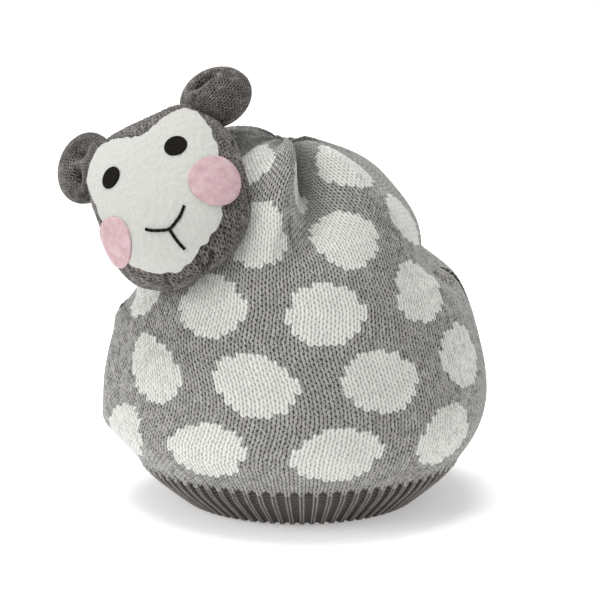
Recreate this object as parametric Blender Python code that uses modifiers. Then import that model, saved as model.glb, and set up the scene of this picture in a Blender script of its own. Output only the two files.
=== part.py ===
"""A knitted tea cosy with a stuffed monkey head sewn to its shoulder.

The cosy stands on its ribbed hem at z = 0. Its front faces -Y, the spout's slit is on the
-X side and the handle's slit on the +X side. Sizes in the constants and tables are in
millimetres. Angles are in degrees, and an angle round the cosy is 0 at the front and 90 at
the handle. Left and right are as seen from the front.
"""
import math

import bmesh
import bpy
import numpy as np
from mathutils import Vector

MM = 0.001

# ---- The whole -------------------------------------------------------------

# Where the cosy's own axis stands. The origin is under the middle of the whole object.
AXIS = Vector((10.8, -0.1, 0.0))

MATERIALS = (
    # name, colour, roughness
    ("grey_knit", (0.42, 0.42, 0.43), 0.95),
    ("taupe_knit", (0.16, 0.14, 0.14), 0.95),
    ("white_fleece", (0.80, 0.80, 0.77), 0.95),
    ("pink_felt", (0.75, 0.45, 0.50), 0.95),
    ("black_thread", (0.015, 0.013, 0.013), 0.80),
)

# ---- The knitted cloth -----------------------------------------------------

CLOTH_THICK = 2.6
RIBS = 74
RIB_RELIEF = 0.9
GATHER_RADIUS = 3.0

# Lengths of cloth, measured from the hem for the welt and from the gather for the crown
WELT_LENGTH = 33.6
CROWN_LENGTH = 27.0

# Rows of faces in the welt, the two panels and the crown
WELT_ROWS = 4
PANEL_ROWS = 19
CROWN_ROWS = 5

# The turned form that the cloth follows, from the hem up to the gather
PROFILE = (
    # height, radius, shift to +X, shift to +Y
    (0.0, 47.6, 1.2, 0.0),
    (5.0, 56.4, 1.0, 0.0),
    (10.0, 63.4, 0.8, 0.0),
    (15.4, 69.2, 0.6, 0.0),
    (20.8, 73.0, 0.4, 0.0),
    (27.0, 77.6, 0.2, 0.0),
    (34.5, 81.8, 0.0, 0.0),
    (43.0, 84.1, 0.0, 0.0),
    (52.0, 84.6, 0.0, 0.0),
    (62.0, 83.7, 0.0, 0.0),
    (72.0, 81.7, 0.0, 0.0),
    (82.0, 78.9, 0.0, 0.0),
    (92.0, 75.2, 0.0, 0.0),
    (102.0, 70.6, -0.5, 0.0),
    (111.0, 65.6, -1.0, 0.0),
    (120.0, 60.2, -1.6, 0.0),
    (129.0, 54.2, -2.3, -0.6),
    (138.0, 47.4, -3.0, -1.6),
    (146.0, 39.8, -3.6, -2.6),
    (152.5, 31.2, -4.1, -3.6),
    (157.2, 22.4, -4.4, -4.4),
    (159.8, 14.6, -4.6, -5.0),
    (160.6, 8.0, -4.7, -5.2),
    (160.2, GATHER_RADIUS, -4.7, -5.2),
)
PROFILE_STEPS = 24
NORMAL_SPAN = 0.8

# The slits that let the spout and the handle out, between the front and the back panel
SPOUT_SLIT, HANDLE_SLIT = SLITS = (
    # angle, lowest, highest, half opening, flare of the edges
    (-90.0, 33.0, 88.0, 15.0, 3.0),
    (90.0, 33.0, 107.0, 8.0, 0.4),
)
SLIT_FULLNESS = 0.6
FLARE_WIDTH = 9.0

# Folds that run out from the gather: ridges where the height is above 0, else troughs
FOLDS = (
    # angle at the gather, angle at the end, half width, first reach, last reach, height
    (-26.0, -14.0, 22.0, 0.0, 110.0, 6.5),
    (-3.0, -1.0, 9.0, 2.0, 70.0, 3.5),
    (15.0, 15.0, 11.0, 3.0, 85.0, -12.0),
    (52.0, 42.0, 18.0, 0.0, 100.0, 5.0),
    (88.0, 84.0, 14.0, 2.0, 50.0, -4.0),
    (122.0, 116.0, 18.0, 0.0, 80.0, 4.0),
    (152.0, 150.0, 12.0, 2.0, 70.0, -5.0),
    (184.0, 180.0, 16.0, 0.0, 95.0, 4.0),
    (214.0, 210.0, 11.0, 3.0, 80.0, -6.0),
    (246.0, 240.0, 16.0, 0.0, 70.0, 4.0),
    (286.0, 290.0, 14.0, 2.0, 55.0, -5.0),
)
# A fold is highest a third of the way along it, where along * (1 - along)^2 is 4 / 27.
FOLD_PEAK = 27.0 / 4.0

# Swellings and hollows: the crown's left side, the dip over the handle, the step over the
# spout, and the cloth that the spout's root pushes out
BUMPS = (
    # angle, height, breadth, rise, push
    (-100.0, 146.0, 30.0, 22.0, 8.0),
    (90.0, 112.5, 30.0, 7.5, -8.5),
    (-90.0, 94.0, 16.0, 5.0, -4.0),
    (-86.0, 84.0, 16.0, 4.0, 1.5),
    (-84.0, 37.0, 22.0, 8.0, 2.5),
    (-80.0, 24.0, 26.0, 6.0, -2.0),
)

# ---- The head --------------------------------------------------------------

# In the head's own frame the face looks to -Y and the brow is up.
HEAD_CENTRE = Vector((-54.3, -35.7, 143.3))
HEAD_TURN = (-45.0, -18.5, -26.8)
HEAD_HALF = (35.8, 23.0, 42.5)
BROW_HALF = 39.5
HEAD_SQUARE = 2.25
HEAD_SEGMENTS = 36
HEAD_RINGS = 22

# How far a stuffed piece's points keep off what it is sewn to
HEAD_GAP = 1.1
EAR_GAP = 0.85

EAR_PLACES = (
    # name, across, back, up, tip back, turn
    ("ear_left", -32.8, 0.0, 36.4, 0.0, 0.0),
    ("ear_right", 34.4, 1.2, 33.8, -10.0, -12.0),
)
EAR_SIZES = (
    # half width, half height, front, back, hollow's depth, width, height, shift up
    (13.5, 15.0, 7.5, 11.0, 10.5, 0.72, 0.72, 0.0),
    (17.5, 14.0, 9.0, 13.5, 9.0, 0.78, 0.4, 0.26),
)
EAR_SEGMENTS = 20
EAR_RINGS = 12

# ---- The face --------------------------------------------------------------

# The right half of the fleece's outline, from the notch in its brow round to its chin
FACE_OUTLINE = (
    # across, up
    (0.0, 21.5),
    (5.5, 22.8),
    (12.0, 28.0),
    (18.5, 31.5),
    (25.0, 28.5),
    (29.0, 20.0),
    (30.2, 10.0),
    (29.4, 0.0),
    (28.4, -10.0),
    (26.4, -20.0),
    (22.4, -28.5),
    (16.0, -34.8),
    (8.0, -38.8),
    (0.0, -40.0),
)
FACE_STEPS = 2
FACE_RINGS = 5
FACE_THICK = 1.5

# How far the fleece lies off the head, and the eyes, cheeks and mouth off the fleece
FACE_GAP = 0.85
TRIM_GAP = 0.55

DISCS = (
    # name, across, up, radius, thickness, corners, rings, material
    ("eye_left", -15.2, 9.4, 5.0, 0.8, 18, 2, "black_thread"),
    ("eye_right", 16.6, 6.4, 5.0, 0.8, 18, 2, "black_thread"),
    ("cheek_left", -24.8, -14.8, 11.8, 1.0, 24, 3, "pink_felt"),
    ("cheek_right", 24.8, -14.8, 11.8, 1.0, 24, 3, "pink_felt"),
)

MOUTH_THREAD = 0.75
MOUTH_STEPS = 3
MOUTH_SMILE = (
    # across, up
    (-10.0, -20.8),
    (-5.5, -23.4),
    (0.5, -26.5),
    (6.2, -24.6),
    (10.6, -20.4),
)
MOUTH_STEM = (
    # across, up
    (0.4, -26.3),
    (0.8, -30.6),
    (1.6, -35.0),
)
WELD = 0.00002


def placed(point):
    """A point given from the cosy's axis, in metres from the origin."""
    return (AXIS + Vector(point)) * MM


def smooth_curve(rows, steps):
    """Points of a Catmull-Rom curve through the rows of a table."""
    table = np.array(rows)
    ends = np.vstack([2 * table[0] - table[1], table, 2 * table[-1] - table[-2]])
    points = []
    for first in range(len(table) - 1):
        before, start, stop, after = ends[first:first + 4]
        for step in range(steps):
            t = step / steps
            points.append(0.5 * (2 * start + (stop - before) * t
                                 + (2 * before - 5 * start + 4 * stop - after) * t ** 2
                                 + (3 * start - before - 3 * stop + after) * t ** 3))
    points.append(table[-1])
    return np.array(points)


# ---- The cloth's form ------------------------------------------------------

CURVE = smooth_curve(PROFILE, PROFILE_STEPS)
CURVE_LENGTH = np.concatenate(
    [[0.0], np.cumsum(np.hypot(np.diff(CURVE[:, 0]), np.diff(CURVE[:, 1])))])
CLOTH_LENGTH = CURVE_LENGTH[-1]


def profile_at(length):
    """Height, radius and the two shifts at a length of cloth measured up from the hem."""
    return [float(np.interp(length, CURVE_LENGTH, CURVE[:, column])) for column in range(4)]


def length_at_height(height):
    return float(np.interp(height, CURVE[:, 0], CURVE_LENGTH))


def base_point(angle, length):
    """The turned form's point and its outward normal."""
    height, radius, shift_x, shift_y = profile_at(length)
    low, high = profile_at(length - NORMAL_SPAN), profile_at(length + NORMAL_SPAN)
    rise, spread = high[0] - low[0], high[1] - low[1]
    across, ahead = math.sin(math.radians(angle)), -math.cos(math.radians(angle))
    point = Vector((shift_x + radius * across, shift_y + radius * ahead, height))
    normal = Vector((rise * across, rise * ahead, -spread)) / math.hypot(rise, spread)
    return point, normal


def angle_between(first, second):
    return (first - second + 180.0) % 360.0 - 180.0


def fold_push(angle, length):
    reach = CLOTH_LENGTH - length
    push = 0.0
    for start_angle, end_angle, half_width, first, last, height in FOLDS:
        along = (reach - first) / (last - first)
        if 0.0 < along < 1.0:
            line = start_angle + (end_angle - start_angle) * along
            across = angle_between(angle, line) / half_width
            push += height * FOLD_PEAK * along * (1.0 - along) ** 2 * math.exp(-across ** 2)
    return push


def bump_push(point):
    push = 0.0
    for angle, height, breadth, rise, amount in BUMPS:
        centre, _ = base_point(angle, length_at_height(height))
        away = point - centre
        off = (away.x ** 2 + away.y ** 2) / breadth ** 2 + (away.z / rise) ** 2
        push += amount * math.exp(-off)
    return push


def slit_opening(slit, height):
    """Half the slit's width at a height, as an angle, and how far its edges flare."""
    _, lowest, highest, half_opening, flare = slit
    along = (height - lowest) / (highest - lowest)
    if not 0.0 < along < 1.0:
        return 0.0, 0.0
    swell = math.sin(math.pi * along) ** SLIT_FULLNESS
    radius = profile_at(length_at_height(height))[1]
    return math.degrees(half_opening * swell / radius), flare * swell


def slit_push(angle, height):
    """The slits' edges stand out over the pot's spout and handle."""
    push = 0.0
    for slit in SLITS:
        opening, flare = slit_opening(slit, height)
        off = max(0.0, abs(angle_between(angle, slit[0])) - opening)
        push += flare * math.exp(-(off / FLARE_WIDTH) ** 2)
    return push


def cloth_point(angle, length, relief=0.0):
    """A point of the cosy's outer face, in millimetres from its axis at the hem."""
    point, normal = base_point(angle, length)
    push = fold_push(angle, length) + bump_push(point) + slit_push(angle, point.z)
    return point + normal * (push + relief)


def panel_angle(panel, share, height):
    """The angle of a place across the front or the back panel, where share runs 0 to 1."""
    spout, _ = slit_opening(SPOUT_SLIT, height)
    handle, _ = slit_opening(HANDLE_SLIT, height)
    if panel == "front":
        start, stop = SPOUT_SLIT[0] + spout, HANDLE_SLIT[0] - handle
    else:
        start, stop = HANDLE_SLIT[0] + handle, SPOUT_SLIT[0] + 360.0 - spout
    return start + (stop - start) * share


# ---- The cloth's mesh ------------------------------------------------------

class Cloth:
    """The vertices and faces of the cosy's outer face, gathered row by row."""

    def __init__(self):
        self.vertices = []
        self.faces = []

    def add(self, point):
        self.vertices.append(placed(point))
        return len(self.vertices) - 1

    def bridge(self, lower, upper):
        """Quads between two rows with the same number of vertices."""
        for column in range(len(lower) - 1):
            self.faces.append((lower[column], lower[column + 1], upper[column + 1], upper[column]))

    def bridge_closed(self, lower, upper):
        self.bridge(lower + lower[:1], upper + upper[:1])

    def bridge_halved(self, lower, upper):
        """Triangles from a closed row to one with half as many vertices."""
        for column, left in enumerate(upper):
            right = upper[(column + 1) % len(upper)]
            first, middle = lower[2 * column], lower[2 * column + 1]
            last = lower[(2 * column + 2) % len(lower)]
            self.faces += [(first, middle, left), (middle, right, left), (middle, last, right)]

    def close(self, row, point):
        """A fan from a closed row to one point."""
        tip = self.add(point)
        for column, vertex in enumerate(row):
            self.faces.append((vertex, row[(column + 1) % len(row)], tip))


def closed_row(cloth, columns, length, relief=0.0):
    """A row right round the cosy; with relief its points are ridges and troughs by turns."""
    row = []
    for column in range(columns):
        angle = SPOUT_SLIT[0] + 360.0 * column / columns
        side = 1.0 if column % 2 == 0 else -1.0
        row.append(cloth.add(cloth_point(angle, length, side * relief)))
    return row


def panel_rows(cloth, length):
    """The front and the back panel's rows at a length, joined where no slit parts them."""
    height = profile_at(length)[0]
    columns = RIBS // 2

    def add(panel, column):
        angle = panel_angle(panel, column / columns, height)
        return cloth.add(cloth_point(angle, length))

    front = [add("front", column) for column in range(columns + 1)]
    back = [add("back", column) for column in range(1, columns)]
    first = add("back", 0) if slit_opening(HANDLE_SLIT, height)[0] > 0.0 else front[-1]
    last = add("back", columns) if slit_opening(SPOUT_SLIT, height)[0] > 0.0 else front[0]
    return front, [first] + back + [last]


def joined(panels):
    """One closed row from a front and a back row that no slit parts."""
    front, back = panels
    return front + back[1:-1]


def make_cloth():
    """The cosy's outer face: the welt, the two panels and the gathered crown."""
    cloth = Cloth()
    reliefs = [RIB_RELIEF] * WELT_ROWS + [RIB_RELIEF / 3.0]
    welt = [closed_row(cloth, 2 * RIBS, WELT_LENGTH * row / WELT_ROWS, relief)
            for row, relief in enumerate(reliefs)]
    for lower, upper in zip(welt, welt[1:]):
        cloth.bridge_closed(lower, upper)

    start = WELT_LENGTH * (1.0 + 1.0 / WELT_ROWS)
    stop = CLOTH_LENGTH - CROWN_LENGTH
    panels = [panel_rows(cloth, start + (stop - start) * row / PANEL_ROWS)
              for row in range(PANEL_ROWS + 1)]
    cloth.bridge_halved(welt[-1], joined(panels[0]))
    for lower, upper in zip(panels, panels[1:]):
        for lower_row, upper_row in zip(lower, upper):
            cloth.bridge(lower_row, upper_row)

    crown = [closed_row(cloth, RIBS // 2, stop + CROWN_LENGTH * row / (CROWN_ROWS + 1))
             for row in range(1, CROWN_ROWS + 2)]
    cloth.bridge_halved(joined(panels[-1]), crown[0])
    for lower, upper in zip(crown, crown[1:]):
        cloth.bridge_closed(lower, upper)
    height, _, shift_x, shift_y = profile_at(CLOTH_LENGTH)
    cloth.close(crown[-1], (shift_x, shift_y, height))
    return cloth


# ---- The head's form -------------------------------------------------------

def head_halves(point):
    """The head's half sizes on the side where a point lies: its brow is the flatter end."""
    half_x, half_y, half_z = HEAD_HALF
    return half_x, half_y, BROW_HALF if point[2] > 0.0 else half_z


def on_head(point, lift=0.0):
    """A point brought onto the head's form, then lifted off it."""
    halves = head_halves(point)
    shares = [point[axis] / halves[axis] for axis in range(3)]
    size = sum(abs(share) ** HEAD_SQUARE for share in shares) ** (1.0 / HEAD_SQUARE)
    slope = [math.copysign(abs(share / size) ** (HEAD_SQUARE - 1.0), share) for share in shares]
    normal = Vector(slope[axis] / halves[axis] for axis in range(3)).normalized()
    return Vector(point) / size + normal * lift


def on_face(across, up, lift=0.0):
    """The point of the face at a distance across and up, then lifted off it."""
    half_x, half_y, half_z = head_halves((across, 0.0, up))
    rest = 1.0 - abs(across / half_x) ** HEAD_SQUARE - abs(up / half_z) ** HEAD_SQUARE
    depth = half_y * max(0.0, rest) ** (1.0 / HEAD_SQUARE)
    return on_head((across, -depth, up), lift)


def face_outline():
    """The fleece's whole outline: the table's half, then its mirror image back up."""
    half = smooth_curve(FACE_OUTLINE, FACE_STEPS)
    right = [on_face(across, up) for across, up in half]
    left = [on_face(-across, up) for across, up in half[-2:0:-1]]
    return right + left


def disc_outline(across, up, radius, corners):
    """A round outline that lies flat on the head about a place on its face."""
    middle = on_face(across, up)
    normal = (on_face(across, up, 1.0) - middle).normalized()
    side = Vector((0.0, 0.0, 1.0)).cross(normal).normalized()
    rise = normal.cross(side)
    turns = [-2.0 * math.pi * corner / corners for corner in range(corners)]
    return [middle + (side * math.cos(turn) + rise * math.sin(turn)) * radius for turn in turns]


def ear_shape(direction, sizes):
    """A puffy ear with a hollow that opens toward -Y."""
    half_width, half_height, front, back, hollow, hollow_width, hollow_height, shift = sizes
    depth = back * direction.y
    if direction.y < 0.0:
        off = (direction.x / hollow_width) ** 2 + ((direction.z - shift) / hollow_height) ** 2
        depth = front * direction.y + hollow * max(0.0, 1.0 - off) ** 2
    return Vector((half_width * direction.x, depth, half_height * direction.z))


# ---- Objects ---------------------------------------------------------------

def make_material(name, colour, roughness):
    material = bpy.data.materials.new(name)
    material.use_nodes = True
    shader = material.node_tree.nodes["Principled BSDF"]
    shader.inputs["Base Color"].default_value = (*colour, 1.0)
    shader.inputs["Roughness"].default_value = roughness
    shader.inputs["Metallic"].default_value = 0.0


def mesh_object(name, vertices, faces, material, collection):
    mesh = bpy.data.meshes.new(name)
    mesh.from_pydata([tuple(vertex) for vertex in vertices], [], faces)
    mesh.materials.append(bpy.data.materials[material])
    mesh.shade_smooth()
    thing = bpy.data.objects.new(name, mesh)
    collection.objects.link(thing)
    return thing


def evaluated_mesh(thing):
    bpy.context.view_layer.update()
    return bpy.data.meshes.new_from_object(thing.evaluated_get(bpy.context.evaluated_depsgraph_get()))


def hide(thing):
    """Mark an object as a guide, which is no part of the cosy."""
    thing.hide_render = True
    thing.display_type = "WIRE"


def thicken(thing, thickness, offset):
    wall = thing.modifiers.new("Cloth thickness", "SOLIDIFY")
    wall.thickness = thickness * MM
    wall.offset = offset


def press_on(thing, target, gap):
    """Push the points of a stuffed piece out of what it is sewn to."""
    wrap = thing.modifiers.new("Pressed on", "SHRINKWRAP")
    wrap.target = target
    wrap.wrap_method = "NEAREST_SURFACEPOINT"
    wrap.wrap_mode = "OUTSIDE"
    wrap.offset = gap * MM


def make_form(cloth, guides):
    """The cosy's outer face alone, against which the head is pressed."""
    form = mesh_object("cosy_form", cloth.vertices, cloth.faces, "grey_knit", guides)
    hide(form)
    return form


def make_cosy(cloth, parts):
    """The knitted cover: its outer face thickened inward, with its hem flat on the ground."""
    cosy = mesh_object("knitted_cosy", cloth.vertices, cloth.faces, "grey_knit", parts)
    thicken(cosy, CLOTH_THICK, -1.0)
    cosy.data = evaluated_mesh(cosy)
    cosy.modifiers.clear()
    _, _, shift_x, shift_y = profile_at(0.0)
    middle = placed((shift_x, shift_y, 0.0))
    vertices = cosy.data.vertices
    for column in range(2 * RIBS):
        outer, inner = vertices[column], vertices[len(cloth.vertices) + column]
        outer.co.z = 0.0
        inner.co = outer.co + (middle - outer.co).normalized() * CLOTH_THICK * MM


def make_frame(guides):
    """An empty at the head's centre, in whose frame everything on the head is placed."""
    frame = bpy.data.objects.new("head_frame", None)
    frame.rotation_mode = "ZYX"
    frame.location = placed(HEAD_CENTRE)
    frame.rotation_euler = [math.radians(angle) for angle in HEAD_TURN]
    guides.objects.link(frame)
    return frame


def make_ball(name, segments, rings, shape, frame, parts):
    """A primitive sphere whose points are moved by a function of their direction."""
    bpy.ops.mesh.primitive_uv_sphere_add(segments=segments, ring_count=rings, radius=1.0)
    ball = bpy.context.active_object
    ball.name = name
    ball.data.name = name
    for vertex in ball.data.vertices:
        vertex.co = shape(vertex.co) * MM
    ball.data.materials.append(bpy.data.materials["taupe_knit"])
    ball.data.shade_smooth()
    for collection in list(ball.users_collection):
        collection.objects.unlink(ball)
    parts.objects.link(ball)
    ball.parent = frame
    return ball


def make_head(frame, form, parts):
    def shape(direction):
        return on_head(Vector(direction[axis] * HEAD_HALF[axis] for axis in range(3)))

    head = make_ball("head", HEAD_SEGMENTS, HEAD_RINGS, shape, frame, parts)
    press_on(head, form, HEAD_GAP)
    return head


def make_ears(frame, head, parts):
    for (name, *place, tip, turn), sizes in zip(EAR_PLACES, EAR_SIZES):
        def shape(direction, sizes=sizes):
            pole_ahead = Vector((direction.x, -direction.z, direction.y))
            return ear_shape(pole_ahead, sizes)

        ear = make_ball(name, EAR_SEGMENTS, EAR_RINGS, shape, frame, parts)
        ear.location = Vector(place) * MM
        ear.rotation_euler = (math.radians(tip), 0.0, math.radians(turn))
        press_on(ear, head, EAR_GAP)


def make_patch(name, outline, rings, lift, thickness, material, frame, parts):
    """A thin piece of cloth on the head: rings of points that shrink to its middle."""
    middle = sum(outline, Vector()) / len(outline)
    count = len(outline)
    vertices = [on_head(middle, lift) * MM]
    for ring in range(1, rings + 1):
        vertices += [on_head(middle.lerp(point, ring / rings), lift) * MM for point in outline]
    faces = []
    for column in range(count):
        following = (column + 1) % count
        faces.append((0, 1 + following, 1 + column))
        for ring in range(1, rings):
            inner, outer = 1 + (ring - 1) * count, 1 + ring * count
            faces.append((inner + column, inner + following, outer + following, outer + column))
    patch = mesh_object(name, vertices, faces, material, parts)
    thicken(patch, thickness, 1.0)
    patch.parent = frame


def make_face(frame, parts):
    """The fleece face, and the eyes and cheeks on it."""
    make_patch("face", face_outline(), FACE_RINGS, FACE_GAP, FACE_THICK, "white_fleece", frame, parts)
    lift = FACE_GAP + FACE_THICK + TRIM_GAP
    for name, across, up, radius, thickness, corners, rings, material in DISCS:
        outline = disc_outline(across, up, radius, corners)
        make_patch(name, outline, rings, lift, thickness, material, frame, parts)


def make_thread(name, route, frame, collection):
    """One line of the mouth as a closed tube."""
    line = bpy.data.curves.new(name, "CURVE")
    line.dimensions = "3D"
    line.bevel_depth = MOUTH_THREAD * MM
    line.bevel_resolution = 2
    line.use_fill_caps = True
    points = smooth_curve(route, MOUTH_STEPS)
    spline = line.splines.new("POLY")
    spline.points.add(len(points) - 1)
    lift = FACE_GAP + FACE_THICK + TRIM_GAP + MOUTH_THREAD
    for control, (across, up) in zip(spline.points, points):
        control.co = (*(on_face(across, up, lift) * MM), 1.0)
    curve = bpy.data.objects.new(name, line)
    collection.objects.link(curve)
    mesh = evaluated_mesh(curve)
    bpy.data.objects.remove(curve)

    welded = bmesh.new()
    welded.from_mesh(mesh)
    bmesh.ops.remove_doubles(welded, verts=welded.verts, dist=WELD)
    bmesh.ops.recalc_face_normals(welded, faces=welded.faces)
    welded.to_mesh(mesh)
    welded.free()
    mesh.materials.clear()
    mesh.materials.append(bpy.data.materials["black_thread"])
    thread = bpy.data.objects.new(name, mesh)
    collection.objects.link(thread)
    thread.parent = frame
    return thread


def make_mouth(frame, parts, guides):
    """The mouth: a curved line and the short line below it, in one thick thread."""
    mouth = make_thread("mouth", MOUTH_SMILE, frame, parts)
    stem = make_thread("mouth_stem", MOUTH_STEM, frame, guides)
    hide(stem)
    join = mouth.modifiers.new("Joined stem", "BOOLEAN")
    join.operation = "UNION"
    join.object = stem


def main():
    for thing in list(bpy.data.objects):
        bpy.data.objects.remove(thing)
    for row in MATERIALS:
        make_material(*row)
    parts = bpy.data.collections.new("tea_cosy")
    guides = bpy.data.collections.new("guides")
    for collection in (parts, guides):
        bpy.context.scene.collection.children.link(collection)

    cloth = make_cloth()
    form = make_form(cloth, guides)
    make_cosy(cloth, parts)
    frame = make_frame(guides)
    head = make_head(frame, form, parts)
    make_ears(frame, head, parts)
    make_face(frame, parts)
    make_mouth(frame, parts, guides)


main()
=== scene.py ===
"""The looks of a knitted tea cosy with a stuffed monkey head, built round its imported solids.

The file is laid out as a Blender add-on and runs as a script. Sizes in the tables are in
millimetres unless a line says otherwise, angles are in degrees, and an angle round the cosy is 0
at the front and 90 at the handle. Left and right are as seen from the front.
"""
import math

import bpy
import numpy as np
from mathutils import Euler, Matrix, Vector, noise


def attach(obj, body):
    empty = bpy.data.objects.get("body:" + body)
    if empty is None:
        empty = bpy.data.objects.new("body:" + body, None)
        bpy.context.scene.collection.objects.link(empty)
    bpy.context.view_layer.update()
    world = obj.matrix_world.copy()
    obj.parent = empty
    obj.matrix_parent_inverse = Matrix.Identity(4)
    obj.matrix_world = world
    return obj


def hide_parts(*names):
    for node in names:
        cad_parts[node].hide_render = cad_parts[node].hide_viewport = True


bl_info = {
    "name": "Knitted tea cosy",
    "version": (1, 0, 0),
    "blender": (4, 5, 0),
    "location": "View3D > Sidebar > Tea cosy",
    "description": "Builds the knitted cover, the stuffed head and the stage of a tea cosy",
    "category": "Add Mesh",
}

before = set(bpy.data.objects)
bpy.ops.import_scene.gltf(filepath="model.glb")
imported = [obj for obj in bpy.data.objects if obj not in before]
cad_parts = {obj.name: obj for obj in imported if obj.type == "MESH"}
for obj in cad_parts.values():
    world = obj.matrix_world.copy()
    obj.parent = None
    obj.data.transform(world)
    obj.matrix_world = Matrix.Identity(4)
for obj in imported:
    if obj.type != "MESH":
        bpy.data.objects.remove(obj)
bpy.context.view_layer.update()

MM = 0.001

# Where the cosy's axis meets the table
AXIS = np.array([10.8, -0.1, 0.0])

# ---- The cloth -------------------------------------------------------------

CLOTH_THICK = 2.6

# The panels' wales and courses, and the length of cloth from the hem up to their lower edge
WALES = 74
COURSES = 80
PANEL_START = 31.9
GATHER_RADIUS = 3.0

# Each stitch has this many columns and rows of points
STITCH_COLUMNS = 4
STITCH_ROWS = 3

# The turned form that the cloth follows, from the hem up to the gather
PROFILE = (
    # height, radius, shift to +X, shift to +Y
    (0.0, 47.6, 1.2, 0.0),
    (5.0, 56.4, 1.0, 0.0),
    (10.0, 63.4, 0.8, 0.0),
    (15.4, 69.2, 0.6, 0.0),
    (20.8, 73.0, 0.4, 0.0),
    (27.0, 77.6, 0.2, 0.0),
    (34.5, 81.8, 0.0, 0.0),
    (43.0, 84.1, 0.0, 0.0),
    (52.0, 84.6, 0.0, 0.0),
    (62.0, 83.7, 0.0, 0.0),
    (72.0, 81.7, 0.0, 0.0),
    (82.0, 78.9, 0.0, 0.0),
    (92.0, 75.2, 0.0, 0.0),
    (102.0, 70.6, -0.5, 0.0),
    (111.0, 65.6, -1.0, 0.0),
    (120.0, 60.2, -1.6, 0.0),
    (129.0, 54.2, -2.3, -0.6),
    (138.0, 47.4, -3.0, -1.6),
    (146.0, 39.8, -3.6, -2.6),
    (152.5, 31.2, -4.1, -3.6),
    (157.2, 22.4, -4.4, -4.4),
    (159.8, 14.6, -4.6, -5.0),
    (160.6, 8.0, -4.7, -5.2),
    (160.2, GATHER_RADIUS, -4.7, -5.2),
)

# Steps of the curve between two rows, and the length over which its slope is taken
PROFILE_STEPS = 24
NORMAL_SPAN = 0.8

# Slits that the pot's spout and handle come through, the spout's first
SLITS = (
    # angle, lowest, highest, half opening, flare of the edges
    (-90.0, 33.0, 88.0, 15.0, 3.0),
    (90.0, 33.0, 107.0, 8.0, 0.4),
)
SPOUT_SLIT = SLITS[0]

# How full a slit's outline is, how much the wales beside it round that off, and how far round
# its flare reaches
SLIT_FULLNESS = 0.6
PARTING_FULLNESS = 1.5
FLARE_WIDTH = 9.0

# Folds that run out from the gather: ridges where the height is above 0, else troughs.
# The first eleven are the large ones, and the rest are finer.
FOLDS = (
    # angle at the gather, angle at the end, width to the left, to the right, first reach,
    # last reach, height
    (-26.0, -14.0, 22.0, 22.0, 0.0, 110.0, 6.5),
    (0.0, -7.0, 9.0, 8.0, 2.0, 80.0, 3.5),
    (20.0, 7.0, 10.0, 13.0, 3.0, 85.0, -12.0),
    (48.0, 42.0, 15.0, 20.0, 0.0, 100.0, 5.5),
    (82.0, 84.0, 14.0, 15.0, 0.0, 34.0, -4.0),
    (122.0, 116.0, 18.0, 18.0, 0.0, 80.0, 3.6),
    (152.0, 150.0, 12.0, 12.0, 6.0, 70.0, -5.0),
    (184.0, 180.0, 16.0, 16.0, 8.0, 95.0, 3.4),
    (214.0, 210.0, 11.0, 11.0, 8.0, 80.0, -6.0),
    (244.0, 240.0, 18.0, 44.0, 0.0, 100.0, 6.4),
    (286.0, 290.0, 14.0, 14.0, 2.0, 55.0, -1.0),
    (5.0, -17.0, 9.0, 2.6, 4.0, 112.0, 3.6),
    (17.0, -4.0, 2.6, 7.0, 5.0, 90.0, -5.5),
    (36.0, 46.0, 8.0, 5.0, 2.0, 60.0, 2.6),
    (63.0, 68.0, 5.0, 8.0, 1.0, 32.0, -2.6),
    (-44.0, -36.0, 7.0, 5.0, 3.0, 60.0, -1.2),
    (-66.0, -62.0, 18.0, 16.0, 0.0, 64.0, 4.2),
    (-84.0, -84.0, 18.0, 20.0, 0.0, 46.0, 2.2),
    (120.0, 116.0, 20.0, 20.0, 6.0, 44.0, -2.4),
    (175.0, 175.0, 30.0, 30.0, 4.0, 36.0, -0.6),
    (200.0, 196.0, 8.0, 5.0, 8.0, 62.0, -2.4),
    (230.0, 224.0, 6.0, 6.0, 6.0, 50.0, 2.2),
)

# A fold is highest a third of the way along it, where along * (1 - along)^2 is 4 / 27.
FOLD_PEAK = 27.0 / 4.0

# Where a fold leans over the hollow beside it
FOLD_LEANS = (
    # angle at the gather, angle at the end, width, first reach, last reach, how far
    (7.0, -14.0, 5.0, 3.0, 92.0, 2.4),
)

# Small pleats where the thread draws the cloth together
PLEATS = (
    # number round the gather, turn, height
    (13.0, 20.0, 0.7),
    (7.0, 75.0, 0.4),
    (21.0, 140.0, 0.4),
)
PLEAT_REACH = 7.0

# Broad swells of the cloth, and dents where the push is below 0
BUMPS = (
    # angle, height, breadth, rise, push
    (-100.0, 146.0, 30.0, 22.0, 8.0),
    (90.0, 112.5, 30.0, 7.5, -8.5),
    (92.0, 122.0, 26.0, 7.0, -1.6),
    (77.0, 103.5, 7.0, 5.5, -4.6),
    (-90.0, 94.0, 16.0, 5.0, -4.0),
    (-86.0, 84.0, 16.0, 4.0, 1.5),
    (-84.0, 37.0, 22.0, 8.0, 2.5),
    (-80.0, 23.5, 26.0, 6.0, -0.5),
)

# How the cloth rolls out over the welt's top, from its lower edge up
ROLL_LENGTH = 6.0
ROLL_PUSH = 0.5

# Every other wale sinks into the welt's troughs: over this many rows of points, how deep, how
# sharply that ends, and the share of it for each point of two wales
DIP_ROWS = 9
DIP_DEPTH = 1.7
DIP_FADE = 1.5
DIP_ACROSS = np.array([0.35, 0.9, 1.0, 0.9, 0.35, 0.0, 0.0, 0.0])

# How far up the lower edge is over each point of two wales, the rows that give way, and how far
# the edge's middle hangs below its outer face, as a share of a row
TEETH = np.array([0.2, 1.1, 1.9, 1.1, 0.2, -0.5, -0.7, -0.5])
TOOTH_ROWS = 6
TOOTH_DROP = 0.3

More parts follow.
